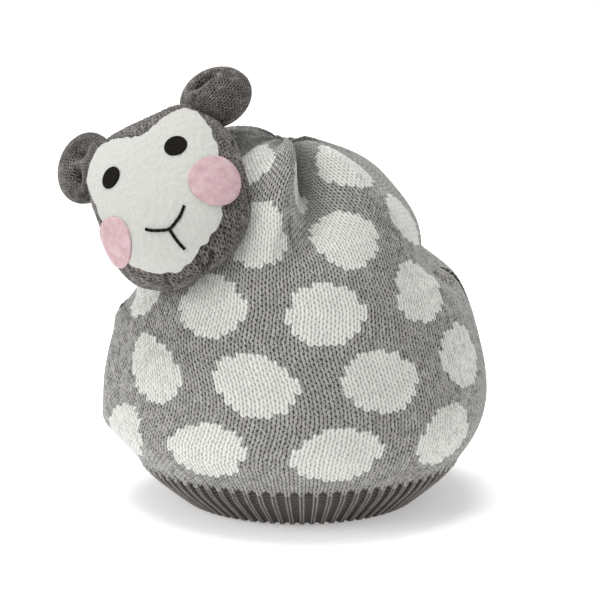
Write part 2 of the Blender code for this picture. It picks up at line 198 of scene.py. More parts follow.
# The top edge is drawn in on a thread: how deep it lies, and how wide the edge stays there
THREAD_DEPTH = 0.9
THREADED = 0.04

# A panel's rows are measured at this many points for each one that they get
FINE_POINTS = 4

# How evenly the wales keep their width across folds: 0 turns with the angle, 1 is even.
# They follow the welt's ribs at first, over this length of cloth.
EVEN_WALES = 0.85
EVEN_LENGTH = 26.0

# How much wider the wales are at a panel's middle than on average
MIDDLE_WALES = 0.10

# How closely the wales crowd together round the gather, where they draw most in the hollow
CROWDING = np.array([
    # angle, closeness
    (-90.0, 1.4), (-55.0, 1.5), (-40.0, 1.2), (-12.0, 0.9), (3.0, 0.9), (8.0, 1.2),
    (19.0, 1.2), (25.0, 0.7), (50.0, 0.6), (68.0, 0.5), (76.0, 1.6), (90.0, 3.0)])

# How far the crowding reaches from the gather, and how slowly it fades
CROWD_REACH = 62.0
CROWD_FADE = 0.7

# Where the panels reach further down over the welt: angle, breadth, how far
PANEL_DROPS = (
    (-90.0, 40.0, 3.2),
    (90.0, 45.0, 1.4),
)

# How far the courses are drawn up across a panel, and how much of it acts up the panel
COURSE_DRAW = np.array([
    # share across, upward
    (0.0, 0.0), (0.15, 0.4), (0.30, -0.6), (0.43, -2.0), (0.56, -2.6), (0.66, -1.4),
    (0.77, 2.4), (0.87, 3.6), (1.0, 0.0)])
COURSE_DRAW_UP = np.array([
    (0.0, 0.0), (0.12, 0.3), (0.3, 0.9), (0.62, 1.0), (0.76, 0.2), (0.88, -0.3), (1.0, 0.0)])
COURSE_DRAW_STEPS = 8

# How far into a panel, as a share of its width, the wales bend with a slit's own edge
EDGE_SHARE = 0.09

# How far a panel's outer face stops short of its edge at a slit, to leave it rounded, the
# slit's half opening from which it stops that short, and the most it does, as a share of a row
EDGE_INSET = 1.1
INSET_OPENING = 2.0
MOST_INSET = 0.02

# One stitch's points: how high the yarn stands, to which side each column leans, and how far
# it leans in each row
STITCH_HEIGHT = np.array([
    # between wales, left leg, middle, right leg
    [0.10, 1.00, 0.60, 1.00],
    [0.00, 0.96, 0.25, 0.96],
    [0.35, 0.84, 0.05, 0.84],
])
STITCH_SIDES = np.array([0.0, 1.0, 0.0, -1.0])
STITCH_LEAN = np.array([0.09, 0.02, -0.07])

# ---- The welt --------------------------------------------------------------

RIBS = 74
WELT_COURSES = 15
WELT_ROWS = 3
RIB = (
    # share of the rib's width, height, purl bars' height, cords' height
    (0.00, -0.70, 0.0, 0.0),
    (0.05, -1.20, 0.10, 0.0),
    (0.14, -1.50, 0.18, 0.0),
    (0.25, -1.55, 0.18, 0.0),
    (0.36, -1.50, 0.18, 0.0),
    (0.45, -1.20, 0.10, 0.0),
    (0.50, -0.60, 0.0, 0.0),
    (0.56, 0.25, 0.0, 0.08),
    (0.62, 0.50, 0.0, 0.12),
    (0.69, 0.15, 0.0, 0.05),
    (0.75, -0.35, 0.0, 0.0),
    (0.81, 0.15, 0.0, 0.05),
    (0.88, 0.50, 0.0, 0.12),
    (0.94, 0.25, 0.0, 0.08),
)

# The welt's top passes behind the panels: how far in, over which length, how far past the
# panels' lower edge that ends, how far past it the welt ends, and how sharply it turns in
WELT_TUCK = 3.3
WELT_TUCK_LENGTH = 2.2
WELT_TUCKED = 2.2
WELT_HIDDEN = 4.0
WELT_BEND = 1.5

# How far the middle of the welt's cloth lies inside the turned form
WELT_SET_IN = 1.2

# The hem spreads a little over the table. Its two faces end HEM_RISE up and in scallops, and
# no lower than HEM_CLEAR. The edge between them touches the table below each cord.
HEM_FLARE = 2.4
HEM_FLARE_LENGTH = 22.0
HEM_RISE = 0.5
HEM_CLEAR = 0.3
HEM_SCALLOPS = np.array([
    # share of the rib's width, rise
    (0.0, 0.7), (0.25, 1.2), (0.5, 0.7), (0.62, 0.0), (0.75, 0.3), (0.88, 0.0), (1.0, 0.7)])
EDGE_SCALLOP = 0.9

# ---- The head --------------------------------------------------------------

# In the head's own frame the face looks to -Y and the brow is up. HEAD_HALF is half its size
# across, from front to back and down to the chin, and BROW_HALF up to the brow. HEAD_SQUARE
# would be 2 for an egg and more for a box, and HEAD_TUCK turns the knit's ends to the back.
HEAD_CENTRE = np.array([-54.3, -35.7, 143.3])
HEAD_TURN = (-45.0, -18.5, -26.8)
HEAD_HALF = np.array([35.8, 23.0, 42.5])
BROW_HALF = 39.5
HEAD_SQUARE = 2.25
HEAD_WALES = 58
HEAD_COURSES = 60
HEAD_TUCK = 0.8

# Where the head departs from its plain form
HEAD_SWELLS = (
    # across, back, up, outward
    (-13.8, -11.2, 33.4, 1.5), (-6.5, -11.0, 35.7, 0.0), (1.0, -10.5, 36.3, -0.9),
    (7.0, -10.0, 36.2, -1.2), (12.2, -9.3, 35.4, -0.7), (18.3, -7.8, 33.5, 1.1),
    (22.0, -6.5, 31.8, 1.8), (-22.0, -10.5, 28.0, 1.7), (-27.0, -9.5, 22.0, 1.2),
    (-32.5, -8.8, 13.1, -0.6), (-34.2, -7.5, 6.0, -1.9), (-34.7, -6.8, -1.2, -2.3),
    (-34.0, -5.0, -9.0, -1.4), (-33.5, -3.7, -15.6, -0.6), (-31.7, -1.4, -22.5, 0.5),
    (-29.0, 2.0, -28.0, 1.6), (-22.5, 5.1, -34.2, 0.5), (-17.0, 7.0, -37.0, 0.1),
    (-11.0, 8.0, -39.3, -0.5), (-5.6, 8.7, -40.0, -1.9), (0.5, 9.4, -39.9, -2.6),
    (6.0, 9.5, -39.4, -1.9), (12.0, 10.0, -38.0, -1.8), (19.0, 10.0, -34.0, -1.9),
    (24.8, 9.5, -29.1, -1.8), (31.4, 8.2, -18.8, -1.9), (34.0, 7.0, -10.4, -1.8),
    (35.0, 6.0, -2.9, -1.6), (35.2, 5.1, 2.9, -1.0),
)
SWELL_REACH = 6.0

# The knit sinks under the fleece that is sewn into it, and stands up round its edge
FACE_BED = np.array([
    # how far out, as a share of the way to the fleece's edge, lift
    (0.95, -0.6), (1.0, 0.0), (1.06, 0.4), (1.3, 0.0)])

# The fleece lies on the head's front, where a point's Y is less than FACE_SIDE. Places behind
# it count as BEHIND times as far out as the fleece's edge.
FACE_SIDE = -1.0
BEHIND = 9.0

# Creases in the head's knit, as lines over its plain form
HEAD_CREASES = (
    # start, stop, width, depth
    ((4.4, -8.5, -40.2), (1.9, 1.8, -42.4), 1.3, 6.0),
    ((10.2, -6.2, -40.3), (3.9, 1.2, -42.3), 1.4, 6.5),
    ((-13.1, -7.1, -39.0), (-15.1, 1.8, -39.6), 1.0, 4.0),
    ((35.5, -2.0, 5.6), (35.4, -2.8, -6.7), 1.3, 2.2),
    ((35.4, -2.8, -6.7), (34.0, -2.1, -15.5), 1.3, 2.2),
    ((34.0, -2.1, -15.5), (31.9, 0.6, -22.1), 1.5, 2.6),
    ((33.8, -0.6, 20.6), (35.1, -5.8, -0.2), 1.2, 1.8),
)

# How far the head stays off the cover, and the ears off the head, when they are pressed on
HEAD_GAP = 0.7
EAR_GAP = 0.5

# The two ears, whose dents lie in shares of their half sizes
EAR_PLACES = (
    # name, across, back, up, tip back, turn
    ("ear_left", -32.3, 0.5, 36.2, 0.0, -16.5),
    ("ear_right", 34.4, 1.3, 33.7, -10.0, 9.0),
)
EAR_SIZES = (
    # half width, half height, front, back, turn of the wales, dents
    (15.6, 15.9, 7.3, 10.6, 0.0, (
        # across, up, width, height, depth
        (0.17, 0.30, 0.34, 0.24, 6.5),
        (-0.06, -0.24, 0.13, 0.16, 6.5),
        (-0.17, -0.40, 0.13, 0.17, 5.0),
    )),
    (16.0, 13.4, 11.9, 11.7, 57.0, (
        (-0.20, 0.08, 0.20, 0.14, 5.0),
        (0.10, 0.23, 0.20, 0.14, 4.5),
        (0.70, -0.02, 0.12, 0.14, 1.5),
        (0.32, -0.30, 0.12, 0.10, 0.8),
    )),
)

# How quickly a dent fades in from the ear's rim
DENT_FADE = 3.0

# How the ears are knitted
EAR_WALES = 36
EAR_COURSES = 28

# Stuffed pieces: the samples from pole to pole that their lengths are measured with, the
# courses over which their stitches fade out at the poles, and the jump in their UV map across
# which a face is mended
BALL_SAMPLES = 360
POLE_COURSES = 3.0
SEAM_JUMP = 0.6

# The smooth form that the head is pressed against: its points, and how it starts and stands
FORM_COLUMNS = 240
FORM_ROWS = 120
FORM_START = 40.0
FORM_LIFT = 0.4

# ---- The face --------------------------------------------------------------

# The fleece's cut edge
FACE_OUTLINE = (
    # across, up, from the middle of the brow round by the right side first
    (0.5, 22.0), (3.8, 20.8), (8.5, 21.6), (12.6, 23.8), (16.4, 26.0), (20.6, 27.4),
    (24.6, 26.4), (27.4, 22.4), (29.4, 16.9), (30.8, 10.6), (31.0, 3.8), (30.4, -3.5),
    (28.8, -12.0), (26.6, -19.6), (23.6, -26.2), (21.3, -30.2), (16.2, -34.2), (11.6, -36.8),
    (7.4, -38.2), (2.6, -39.6), (-3.0, -40.4), (-9.2, -39.6), (-14.6, -37.2), (-19.2, -33.5),
    (-23.2, -28.2), (-26.0, -20.5), (-27.2, -12.5), (-27.6, -4.5), (-28.1, 4.0), (-28.8, 11.0),
    (-29.8, 16.0), (-29.4, 21.5), (-27.2, 26.0), (-23.6, 29.2), (-18.6, 31.2), (-13.4, 30.6),
    (-9.6, 28.8), (-5.6, 26.0), (-1.9, 23.4),
)

# The edge's points from one place of its outline to the next
FACE_STEPS = 7

# How unevenly the knit bites into the fleece's edge
FACE_WAVES = (
    # number round the face, start, height
    (23.0, 0.6, 0.22),
    (34.0, 2.0, 0.16),
    (9.0, 4.1, 0.18),
)

# The middle that the fleece's outline is measured from
FACE_MIDDLE = np.array([0.0, -4.0])

# The fleece: its rings of points, its thickness, how deep its lower side lies in the knit, and
# how far in from its edge it is rounded. The UV maps of what is on the head cover FACE_SPAN.
FACE_RINGS = 60
FACE_THICK = 1.3
FACE_GAP = -0.45
FACE_ROUNDING = 1.6
FACE_TOP = FACE_GAP + FACE_THICK
FACE_SPAN = 90.0

# A cloth's rings crowd towards its edge. The edge starts EDGE_FOOT of the thickness below the
# cloth's middle, and EDGE_LIP of half the thickness above it.
RING_CROWDING = 1.35
EDGE_FOOT = 0.25
EDGE_LIP = 0.1

# The felt cheeks, which are pressed a little into the fleece
CHEEKS = (
    # name, across, up, radius
    ("cheek_left", -26.7, -16.9, 11.4),
    ("cheek_right", 26.2, -15.8, 11.8),
)
CHEEK_THICK = 1.0
CHEEK_SUNK = 0.05
CHEEK_ROUNDING = 0.8
CHEEK_CORNERS = 96
CHEEK_RINGS = 24

# How the fleece and the felt are ruffled: scale of the unevenness, and where in it they lie.
# The felt's nap is its height in metres.
FLEECE_RUFFLE = (420.0, 3.0)
FELT_RUFFLE = (500.0, 7.0)
FELT_NAP = 0.00012

# The stitched eyes
EYES = (
    # name, across, up, radius
    ("eye_left", -15.5, 9.1, 5.0),
    ("eye_right", 16.4, 6.3, 5.0),
)
EYE_THICK = 0.8
EYE_SUNK = 0.1
EYE_ROUNDING = 1.6
EYE_CORNERS = 64
EYE_RINGS = 14

# The mouth's thread: its half thickness, how high its middle lies over the fleece, the points
# and stitches from one place of the tables to the next, and its waist between two stitches
MOUTH_THREAD = 0.75
MOUTH_LIFT = 0.25
MOUTH_STEPS = 8
MOUTH_STITCHES = 1.5
MOUTH_WAIST = 0.8
MOUTH_SMILE = (
    # across, up
    (-9.2, -22.0), (-7.1, -23.8), (-3.4, -25.9), (0.2, -27.1), (3.5, -26.2), (6.6, -24.7),
    (8.5, -23.2), (10.2, -21.5),
)
MOUTH_STEM = (
    # across, up
    (0.2, -26.9), (0.5, -30.5), (1.0, -33.5), (1.7, -36.1),
)

# ---- The stage -------------------------------------------------------------

# Sizes of the stage are in metres, the camera's film in millimetres and the lights in watts.
# The floor glows a little, and its grain varies its brightness.
FLOOR_SIZE = 16.0
FLOOR_GLOW = 0.33
FLOOR_GRAIN = 0.03
LOOKED_AT = Vector((0.0121, -0.0001, 0.0893))
LIT = Vector((0.0, 0.0, 0.09))
FILM = 36.0
VIEW_END = 30.0
LIGHTS = (
    # name, place, size, power
    ("left_light", (-1.4, -0.9, 1.0), 1.1, 14.0),
    ("right_light", (1.5, -0.4, 0.9), 1.1, 2.0),
    ("top_light", (-0.2, 0.15, 1.8), 1.2, 25.5),
)
STUDIO_LIGHT = 0.42


# ---- Curves and forms ------------------------------------------------------

def smooth_curve(rows, steps):
    """Points of a Catmull-Rom curve through the rows of a table."""
    table = np.array(rows)
    ends = np.vstack([2 * table[0] - table[1], table, 2 * table[-1] - table[-2]])
    points = []
    for first in range(len(table) - 1):
        before, start, stop, after = ends[first:first + 4]
        for step in range(steps):
            t = step / steps
            points.append(0.5 * (2 * start + (stop - before) * t
                                 + (2 * before - 5 * start + 4 * stop - after) * t ** 2
                                 + (3 * start - before - 3 * stop + after) * t ** 3))
    points.append(table[-1])
    return np.array(points)


def lengths_along(points):
    """The length of a line up to each of its points."""
    steps = np.linalg.norm(np.diff(points, axis=0), axis=-1)
    return np.concatenate([[0.0], np.cumsum(steps)])


DRAWN = smooth_curve(COURSE_DRAW, COURSE_DRAW_STEPS)
CURVE = smooth_curve(PROFILE, PROFILE_STEPS)
CURVE_LENGTH = lengths_along(CURVE[:, :2])
CLOTH_LENGTH = CURVE_LENGTH[-1]


def profile_at(length):
    """Height, radius and the two shifts at lengths of cloth measured up from the hem."""
    return [np.interp(length, CURVE_LENGTH, CURVE[:, column]) for column in range(4)]


def length_at_height(height):
    """The length of cloth from the hem up to a height."""
    return float(np.interp(height, CURVE[:, 0], CURVE_LENGTH))


def base_points(angle, length):
    """The turned form's points and their outward normals."""
    height, radius, shift_x, shift_y = profile_at(length)
    low, high = profile_at(length - NORMAL_SPAN), profile_at(length + NORMAL_SPAN)
    rise, spread = high[0] - low[0], high[1] - low[1]
    across, ahead = np.sin(np.radians(angle)), -np.cos(np.radians(angle))
    point = np.stack([shift_x + radius * across, shift_y + radius * ahead,
                      height + 0.0 * across], -1)
    normal = np.stack([rise * across, rise * ahead, -spread + 0.0 * across], -1)
    return point, normal / np.linalg.norm(normal, axis=-1, keepdims=True)


def angle_between(first, second):
    """The turn from the second angle to the first, from -180 to 180."""
    return (first - second + 180.0) % 360.0 - 180.0


def fold_parts(angle, length, start_angle, end_angle, first, last):
    """How strong a fold is at lengths of cloth, and how far from its crest angles are."""
    along = np.clip((CLOTH_LENGTH - length - first) / (last - first), 0.0, 1.0)
    off = angle_between(angle, start_angle + (end_angle - start_angle) * along)
    return FOLD_PEAK * along * (1.0 - along) ** 2, off


def fold_push(angle, length):
    """How far the folds stand out."""
    push = 0.0 * angle
    for start_angle, end_angle, left, right, first, last, height in FOLDS:
        strength, off = fold_parts(angle, length, start_angle, end_angle, first, last)
        push = push + height * strength * np.exp(-(off / np.where(off < 0.0, left, right)) ** 2)
    return push


def fold_lean(angle, length):
    """How far the folds lean sideways, towards growing angles."""
    lean = 0.0 * angle
    for start_angle, end_angle, width, first, last, most in FOLD_LEANS:
        strength, off = fold_parts(angle, length, start_angle, end_angle, first, last)
        lean = lean + most * strength * np.exp(-(off / width) ** 2)
    return lean


def pleat_push(angle, length):
    """Pleats that are deepest near the gather and fade out along the cloth."""
    near = np.maximum(CLOTH_LENGTH - length, 0.0) / PLEAT_REACH
    swell = near * np.exp(1.0 - near)
    waves = sum(height * np.sin(np.radians(count * angle + turn))
                for count, turn, height in PLEATS)
    return swell * waves


def bump_push(point):
    """How far the broad swells and dents move places on the turned form."""
    push = 0.0
    for angle, height, breadth, rise, amount in BUMPS:
        centre, _ = base_points(np.float64(angle), np.float64(length_at_height(height)))
        away = (point - centre) ** 2
        off = (away[..., 0] + away[..., 1]) / breadth ** 2 + away[..., 2] / rise ** 2
        push = push + amount * np.exp(-off)
    return push


def slit_opening(slit, height, fullness=SLIT_FULLNESS):
    """Half the slit's width at a height, as an angle, and how far its edges flare."""
    _, lowest, highest, half_opening, flare = slit
    along = np.clip((height - lowest) / (highest - lowest), 0.0, 1.0)
    swell = np.maximum(np.sin(math.pi * along), 0.0) ** fullness
    radius = np.interp(height, CURVE[:, 0], CURVE[:, 1])
    return np.degrees(half_opening * swell / radius), flare * swell


def slit_push(angle, height):
    """The slits' edges stand out over the pot's spout and handle."""
    push = 0.0
    for slit in SLITS:
        opening, flare = slit_opening(slit, height)
        off = np.maximum(0.0, np.abs(angle_between(angle, slit[0])) - opening)
        push = push + flare * np.exp(-(off / FLARE_WIDTH) ** 2)
    return push


def cloth_points(angle, length, push=0.0):
    """Points of the cloth's outer face, in millimetres from the cosy's axis at the hem."""
    point, normal = base_points(angle, length)
    push = (push + fold_push(angle, length) + pleat_push(angle, length) + bump_push(point)
            + slit_push(angle, point[..., 2]))
    side = np.stack([np.cos(np.radians(angle)), np.sin(np.radians(angle)), 0.0 * angle], -1)
    return point + normal * push[..., None] + side * fold_lean(angle, length)[..., None]


def panel_start(angle):
    """The length of cloth, measured from the hem, at which the welt turns into the panels."""
    start = PANEL_START + 0.0 * angle
    for middle, breadth, drop in PANEL_DROPS:
        start = start - drop * np.exp(-(angle_between(angle, middle) / breadth) ** 2)
    return start


def panel_lengths(start, shares, up):
    """The lengths, measured from the hem, of places across and up a panel."""
    lowest = panel_start(start + 180.0 * shares)
    draw = np.interp(shares, *DRAWN.T) * np.interp(up, *COURSE_DRAW_UP.T)
    return lowest + (CLOTH_LENGTH - lowest) * up + draw


def panel_angles(slits, height, shares):
    """The angles of places across a panel, whose wales part round the slits at its sides."""
    bends = []
    for slit, off in zip(slits, (shares, 1.0 - shares)):
        edge, _ = slit_opening(slit, height)
        calm, _ = slit_opening(slit, height, PARTING_FULLNESS)
        near = np.exp(-(off / EDGE_SHARE) ** 2)
        bends.append((calm + (edge - calm) * near) * (1.0 - off))
    return slits[0][0] + 180.0 * shares + bends[0] - bends[1]


# ---- Grids of points -------------------------------------------------------

def grid_normals(points, closed):
    """Unit normals of a grid of points whose columns run round or across a piece."""
    if closed:
        wide = np.concatenate([points[:, -1:], points, points[:, :1]], axis=1)
        across = wide[:, 2:] - wide[:, :-2]
    else:
        across = np.gradient(points, axis=1)
    normal = np.cross(across, np.gradient(points, axis=0))
    size = np.linalg.norm(normal, axis=-1, keepdims=True)
    return normal / np.maximum(size, 1e-9)


def knitted(points, closed, relief, fade=None):
    """A smooth grid's points raised into stitches, whose legs lean to each stitch's middle."""
    rows, columns = points.shape[:2]
    row, column = np.arange(rows) % STITCH_ROWS, np.arange(columns) % STITCH_COLUMNS
    height = STITCH_HEIGHT[row][:, column]
    side = STITCH_SIDES[column][None, :] * STITCH_LEAN[row][:, None]
    if closed:
        after, before = np.roll(points, -1, axis=1), np.roll(points, 1, axis=1)
    else:
        after = np.concatenate([points[:, 1:], points[:, -1:]], axis=1)
        before = np.concatenate([points[:, :1], points[:, :-1]], axis=1)
    wale = (after - before) * STITCH_COLUMNS / 2.0
    push = (height - 0.5) * relief
    if fade is not None:
        push, side = push * fade, side * fade
    return points + grid_normals(points, closed) * push[..., None] + wale * side[..., None]


def grid_faces(index, closed):
    """Quads over a grid of vertex numbers."""
    if closed:
        index = np.concatenate([index, index[:, :1]], axis=1)
    corners = index[:-1, :-1], index[:-1, 1:], index[1:, 1:], index[1:, :-1]
    return np.stack(corners, -1).reshape(-1, 4)


def strip_faces(fine, coarse, every):
    """Triangles between a fine edge and one that has a point for every few of the fine ones."""
    faces = []
    for place in range(len(coarse) - 1):
        part = fine[place * every:(place + 1) * every + 1]
        first, last = coarse[place], coarse[place + 1]
        middle = every // 2
        faces += [(part[step], first, part[step + 1]) for step in range(middle)]
        faces.append((part[middle], first, last))
        faces += [(part[step], last, part[step + 1]) for step in range(middle, every)]
    return faces


def make_piece(name, points, faces, maps, finish):
    """A mesh object from points in millimetres, with its UV maps given for each point."""
    mesh = bpy.data.meshes.new(name)
    mesh.from_pydata((np.asarray(points) * MM).tolist(), [], faces)
    corners = np.empty(len(mesh.loops), dtype=np.int32)
    mesh.loops.foreach_get("vertex_index", corners)
    for title, values in maps.items():
        layer = mesh.uv_layers.new(name=title)
        layer.data.foreach_set("uv", np.asarray(values, dtype=np.float32)[corners].ravel())
    mesh.materials.append(finish)
    mesh.shade_smooth()
    thing = bpy.data.objects.new(name, mesh)
    bpy.context.scene.collection.objects.link(thing)
    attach(thing, "root")
    return thing


# ---- Finishes --------------------------------------------------------------

SURFACES = {
    # finish: roughness, sheen, specular level, relief in metres, how strongly it shows
    "spotted_knit": (0.95, 0.25, 0.2, 0.0005, 0.8),
    "head_knit": (0.95, 0.25, 0.2, 0.0005, 0.8),
    "ear_knit": (0.95, 0.25, 0.2, 0.0005, 0.8),
    "rib_knit": (0.95, 0.12, 0.2, 0.0005, 0.8),
    "white_fleece": (1.0, 0.1, 0.2, 0.0008, 0.6),
    "pink_felt": (1.0, 0.1, 0.2, 0.0004, 0.5),
    "satin_stitch": (0.85, 0.0, 0.08, 0.0002, 0.6),
    "mouth_thread": (0.85, 0.0, 0.08, 0.0003, 0.7),
    "pale_floor": (0.9, 0.0, 0.2, 0.0002, 0.1),
}
SHEEN_ROUGHNESS = 0.6
NOISES = {
    # what it makes: scale, detail, roughness
    "fluff": (1400.0, 3.0, 0.6),
    "sway": (330.0, 1.0, 0.5),
    "slip": (270.0, 1.0, 0.5),
    "patches": (60.0, 3.0, 0.6),
    "tufts": (900.0, 4.0, 0.65),
    "curls": (320.0, 3.0, 0.6),
    "felt_fibres": (700.0, 5.0, 0.7),
    "mottle": (220.0, 4.0, 0.65),
    "strands": (900.0, 3.0, 0.6),
    "grain": (40.0, 3.0, 0.5),
}


def plug(tree, slot, value):
    """Link a value to a node's slot, or set the slot to a plain number or colour."""
    if isinstance(value, Value):
        tree.links.new(value.socket, slot)
    elif isinstance(value, tuple) and len(value) == 3 and len(slot.default_value) == 4:
        slot.default_value = (*value, 1.0)
    else:
        slot.default_value = value


def maths(tree, operation, *values):
    """A Math node's result."""
    node = tree.nodes.new("ShaderNodeMath")
    node.operation = operation
    for slot, value in zip(node.inputs, values):
        plug(tree, slot, value)
    return Value(tree, node.outputs[0])


class Value:
    """A node's output. Arithmetic on it adds Math nodes."""

    def __init__(self, tree, socket):
        self.tree = tree
        self.socket = socket

    def __add__(self, other):
        return maths(self.tree, "ADD", self, other)

    __radd__ = __add__

    def __mul__(self, other):
        return maths(self.tree, "MULTIPLY", self, other)

    __rmul__ = __mul__

    def __sub__(self, other):
        return maths(self.tree, "SUBTRACT", self, other)

    def __rsub__(self, other):
        return maths(self.tree, "SUBTRACT", other, self)

    def __truediv__(self, other):
        return maths(self.tree, "DIVIDE", self, other)

    def __pow__(self, other):
        return maths(self.tree, "POWER", self, other)

    def __abs__(self):
        return maths(self.tree, "ABSOLUTE", self)

    def __lt__(self, other):
        return maths(self.tree, "LESS_THAN", self, other)

    def fraction(self):
        return maths(self.tree, "FRACT", self)

    def floor(self):
        return maths(self.tree, "FLOOR", self)

    def rounded(self):
        return maths(self.tree, "ROUND", self)

    def sine(self):
        return maths(self.tree, "SINE", self)

    def at_least(self, other):
        return maths(self.tree, "MAXIMUM", self, other)

    def at_most(self, other):
        return maths(self.tree, "MINIMUM", self, other)

    def between(self, low, high):
        """0 below low and 1 above high, with an even rise from one to the other."""
        return ((self - low) / (high - low)).at_least(0.0).at_most(1.0)

    def wave(self):
        """A wave from 0 to 1 that comes round with each whole number."""
        return (self * (2.0 * math.pi)).sine() * 0.5 + 0.5

    def round_one(self, amount):
        """A share from 0 to 1 made a brightness that varies round 1."""
        return self * amount + (1.0 - amount / 2.0)


class Finish:
    """A material as it is put together: its node tree and its surface shader."""

    def __init__(self, name):
        roughness, sheen, specular, self.depth, self.strength = SURFACES[name]
        self.material = bpy.data.materials.new(name)
        self.material.use_nodes = True
        self.tree = self.material.node_tree
        self.shader = self.tree.nodes["Principled BSDF"]
        self.shader.inputs["Roughness"].default_value = roughness
        self.shader.inputs["Specular IOR Level"].default_value = specular
        self.shader.inputs["Sheen Weight"].default_value = sheen
        self.shader.inputs["Sheen Roughness"].default_value = SHEEN_ROUGHNESS

    def node(self, kind, values, settings=(), output=0):
        """Any node: its settings are set first, then its sockets' values or links."""
        node = self.tree.nodes.new("ShaderNode" + kind)
        for key, value in dict(settings).items():
            setattr(node, key, value)
        for key, value in values.items():
            plug(self.tree, node.inputs[key], value)
        return Value(self.tree, node.outputs[output])

    def mix(self, share, first, second):
        """One colour turning into another."""
        return self.node("Mix", {0: share, 6: first, 7: second}, {"data_type": "RGBA"}, 2)

    def brightened(self, colour, factor):
        """A colour times a varying brightness."""
        shade = self.node("CombineXYZ", {0: factor, 1: factor, 2: factor})
        return self.node("VectorMath", {0: colour, 1: shade}, {"operation": "MULTIPLY"})

    def noise(self, kind):
        """One of the noises, over the piece's own coordinates."""
        scale, detail, roughness = NOISES[kind]
        place = self.node("TexCoord", {}, output="Object")
        return self.node("TexNoise", {"Vector": place, "Scale": scale, "Detail": detail,
                                      "Roughness": roughness})

    def chance(self, *numbers):
        """A random number for each stitch or strand."""
        where = self.node("CombineXYZ", dict(enumerate(numbers)))
        return self.node("TexWhiteNoise", {"Vector": where}, {"noise_dimensions": "3D"})

    def map_places(self, title, wide, high):
        """The two coordinates of a UV map, counted in stitches or in millimetres."""
        where = self.node("UVMap", {}, {"uv_map": title})
        return (self.node("SeparateXYZ", {0: where}, output="X") * wide,
                self.node("SeparateXYZ", {0: where}, output="Y") * high)

    def dress(self, colour, height):
        """Give the surface its colour and a relief from a height."""
        bump = self.node("Bump", {"Height": height, "Distance": self.depth,
                                  "Strength": self.strength})
        plug(self.tree, self.shader.inputs["Base Color"], colour)
        plug(self.tree, self.shader.inputs["Normal"], bump)
        return self.material


# A stitch in its own cell: how long its legs reach, where they stand at its foot and how far
# they slant in shares of a wale, and how far they sink on their way up. THINNEST keeps a leg's
# width from 0.
LEG_REACH = 1.3
LEG_FOOT = 0.385
LEG_SLANT = 0.215
LEG_SINK = 0.12
THINNEST = 0.0001


def yarn_height(wale, course, leg_width):
    """How high the yarn stands over a knitted cloth, from 0 in its gaps to 1."""
    off_edge = 0.5 - abs(wale.fraction() - 0.5)
    along = course.fraction()
    height = None
    for below in (0.0, 1.0):
        far = along + below
        taper = (far * (math.pi / LEG_REACH)).sine().at_least(0.0) ** 0.5
        across = (off_edge - (LEG_FOOT - LEG_SLANT * far)) / (taper * leg_width + THINNEST)
        leg = (1.0 - across * across).at_least(0.0) ** 0.5 * (1.0 - LEG_SINK * far)
        height = leg if height is None else height.at_least(leg)
    return height


# The yarn: turns of its plies in a course and how they lean across a leg, their share in its
# look, how much its fibres vary its brightness, and how high they stand
PLY_TURNS = 3.0
PLY_LEAN = 6.0
PLY_SHARE = 0.35
FIBRE_SHADE = 0.36
FIBRE_RELIEF = 0.25

# The marl: how its light and dark plies change along the courses and across the wales
MARL_COURSES = 1.2
MARL_WALES = 2.6
PATCH_SHADE = 0.28

# From these heights of the yarn its colour turns from the painted shade of the gaps to its own
GAP_SHADE_EDGE = (0.12, 0.80)

# How unlike a yarn's plies are, a leg's half width and how far it strays, both in wales. It
# strays further along the courses by SLIP_SHARE.
GROUND_MARL = 0.34
SPOT_MARL = 0.06
PANEL_LEG = 0.205
PANEL_STRAY = 0.45
HEAD_MARL = 0.66
HEAD_LEG = 0.18
HEAD_STRAY = 0.7
SLIP_SHARE = 1.4


def yarn_fibres(finish, wale, course):
    """The twist of the yarn's plies and its loose fibres, round 0.5."""
    lean = (wale.fraction() - 0.5).sine()
    twist = (course * PLY_TURNS + abs(lean) * PLY_LEAN).wave()
    return twist * PLY_SHARE + finish.noise("fluff") * (1.0 - PLY_SHARE)


def stitched(finish, wale, course, light, dark, marl, leg_width, stray):
    """Stitches in one yarn; marl is how far its light and dark plies differ."""
    stitch = finish.chance((wale * 2.0).floor(), course.floor(), 0.0)
    wale = wale + (finish.noise("sway") - 0.5) * stray
    course = course + (finish.noise("slip") - 0.5) * (SLIP_SHARE * stray)
    height = yarn_height(wale, course, leg_width)
    fibres = yarn_fibres(finish, wale, course)
    plies = (course * MARL_COURSES + wale * MARL_WALES + stitch).wave() + stitch
    shade = (fibres.round_one(FIBRE_SHADE) * ((1.0 - marl) + plies * marl)
             * finish.noise("patches").round_one(PATCH_SHADE))
    # dark is painted shade: the colour turns to it in the gaps between legs, where the yarn lies
    # low
    colour = finish.mix(height.between(*GAP_SHADE_EDGE), dark, light)
    return finish.dress(finish.brightened(colour, shade), height + fibres * FIBRE_RELIEF)


# The panels' spots, counted in wales and courses: the first row and the next, the first spot
# of even and of odd rows and the next, how much a spot's height varies, and how far up the
# sides of a stitch its colour reaches
SPOT_START = 10.0
SPOT_PITCH = 14.0
SPOT_ROWS = 5
SPOT_COLUMNS = 4
SPOT_SPACING = 16.0
SPOT_LEFT = (9.5, 15.5)
SPOT_UNEVEN = 0.10
TOOTH = 0.5

# From this share of a panel's courses up to its top, the painted shade in the gaps fades by this
# much
SHADE_FADE_FROM = 0.84
GAP_SHADE_FADE = 0.9


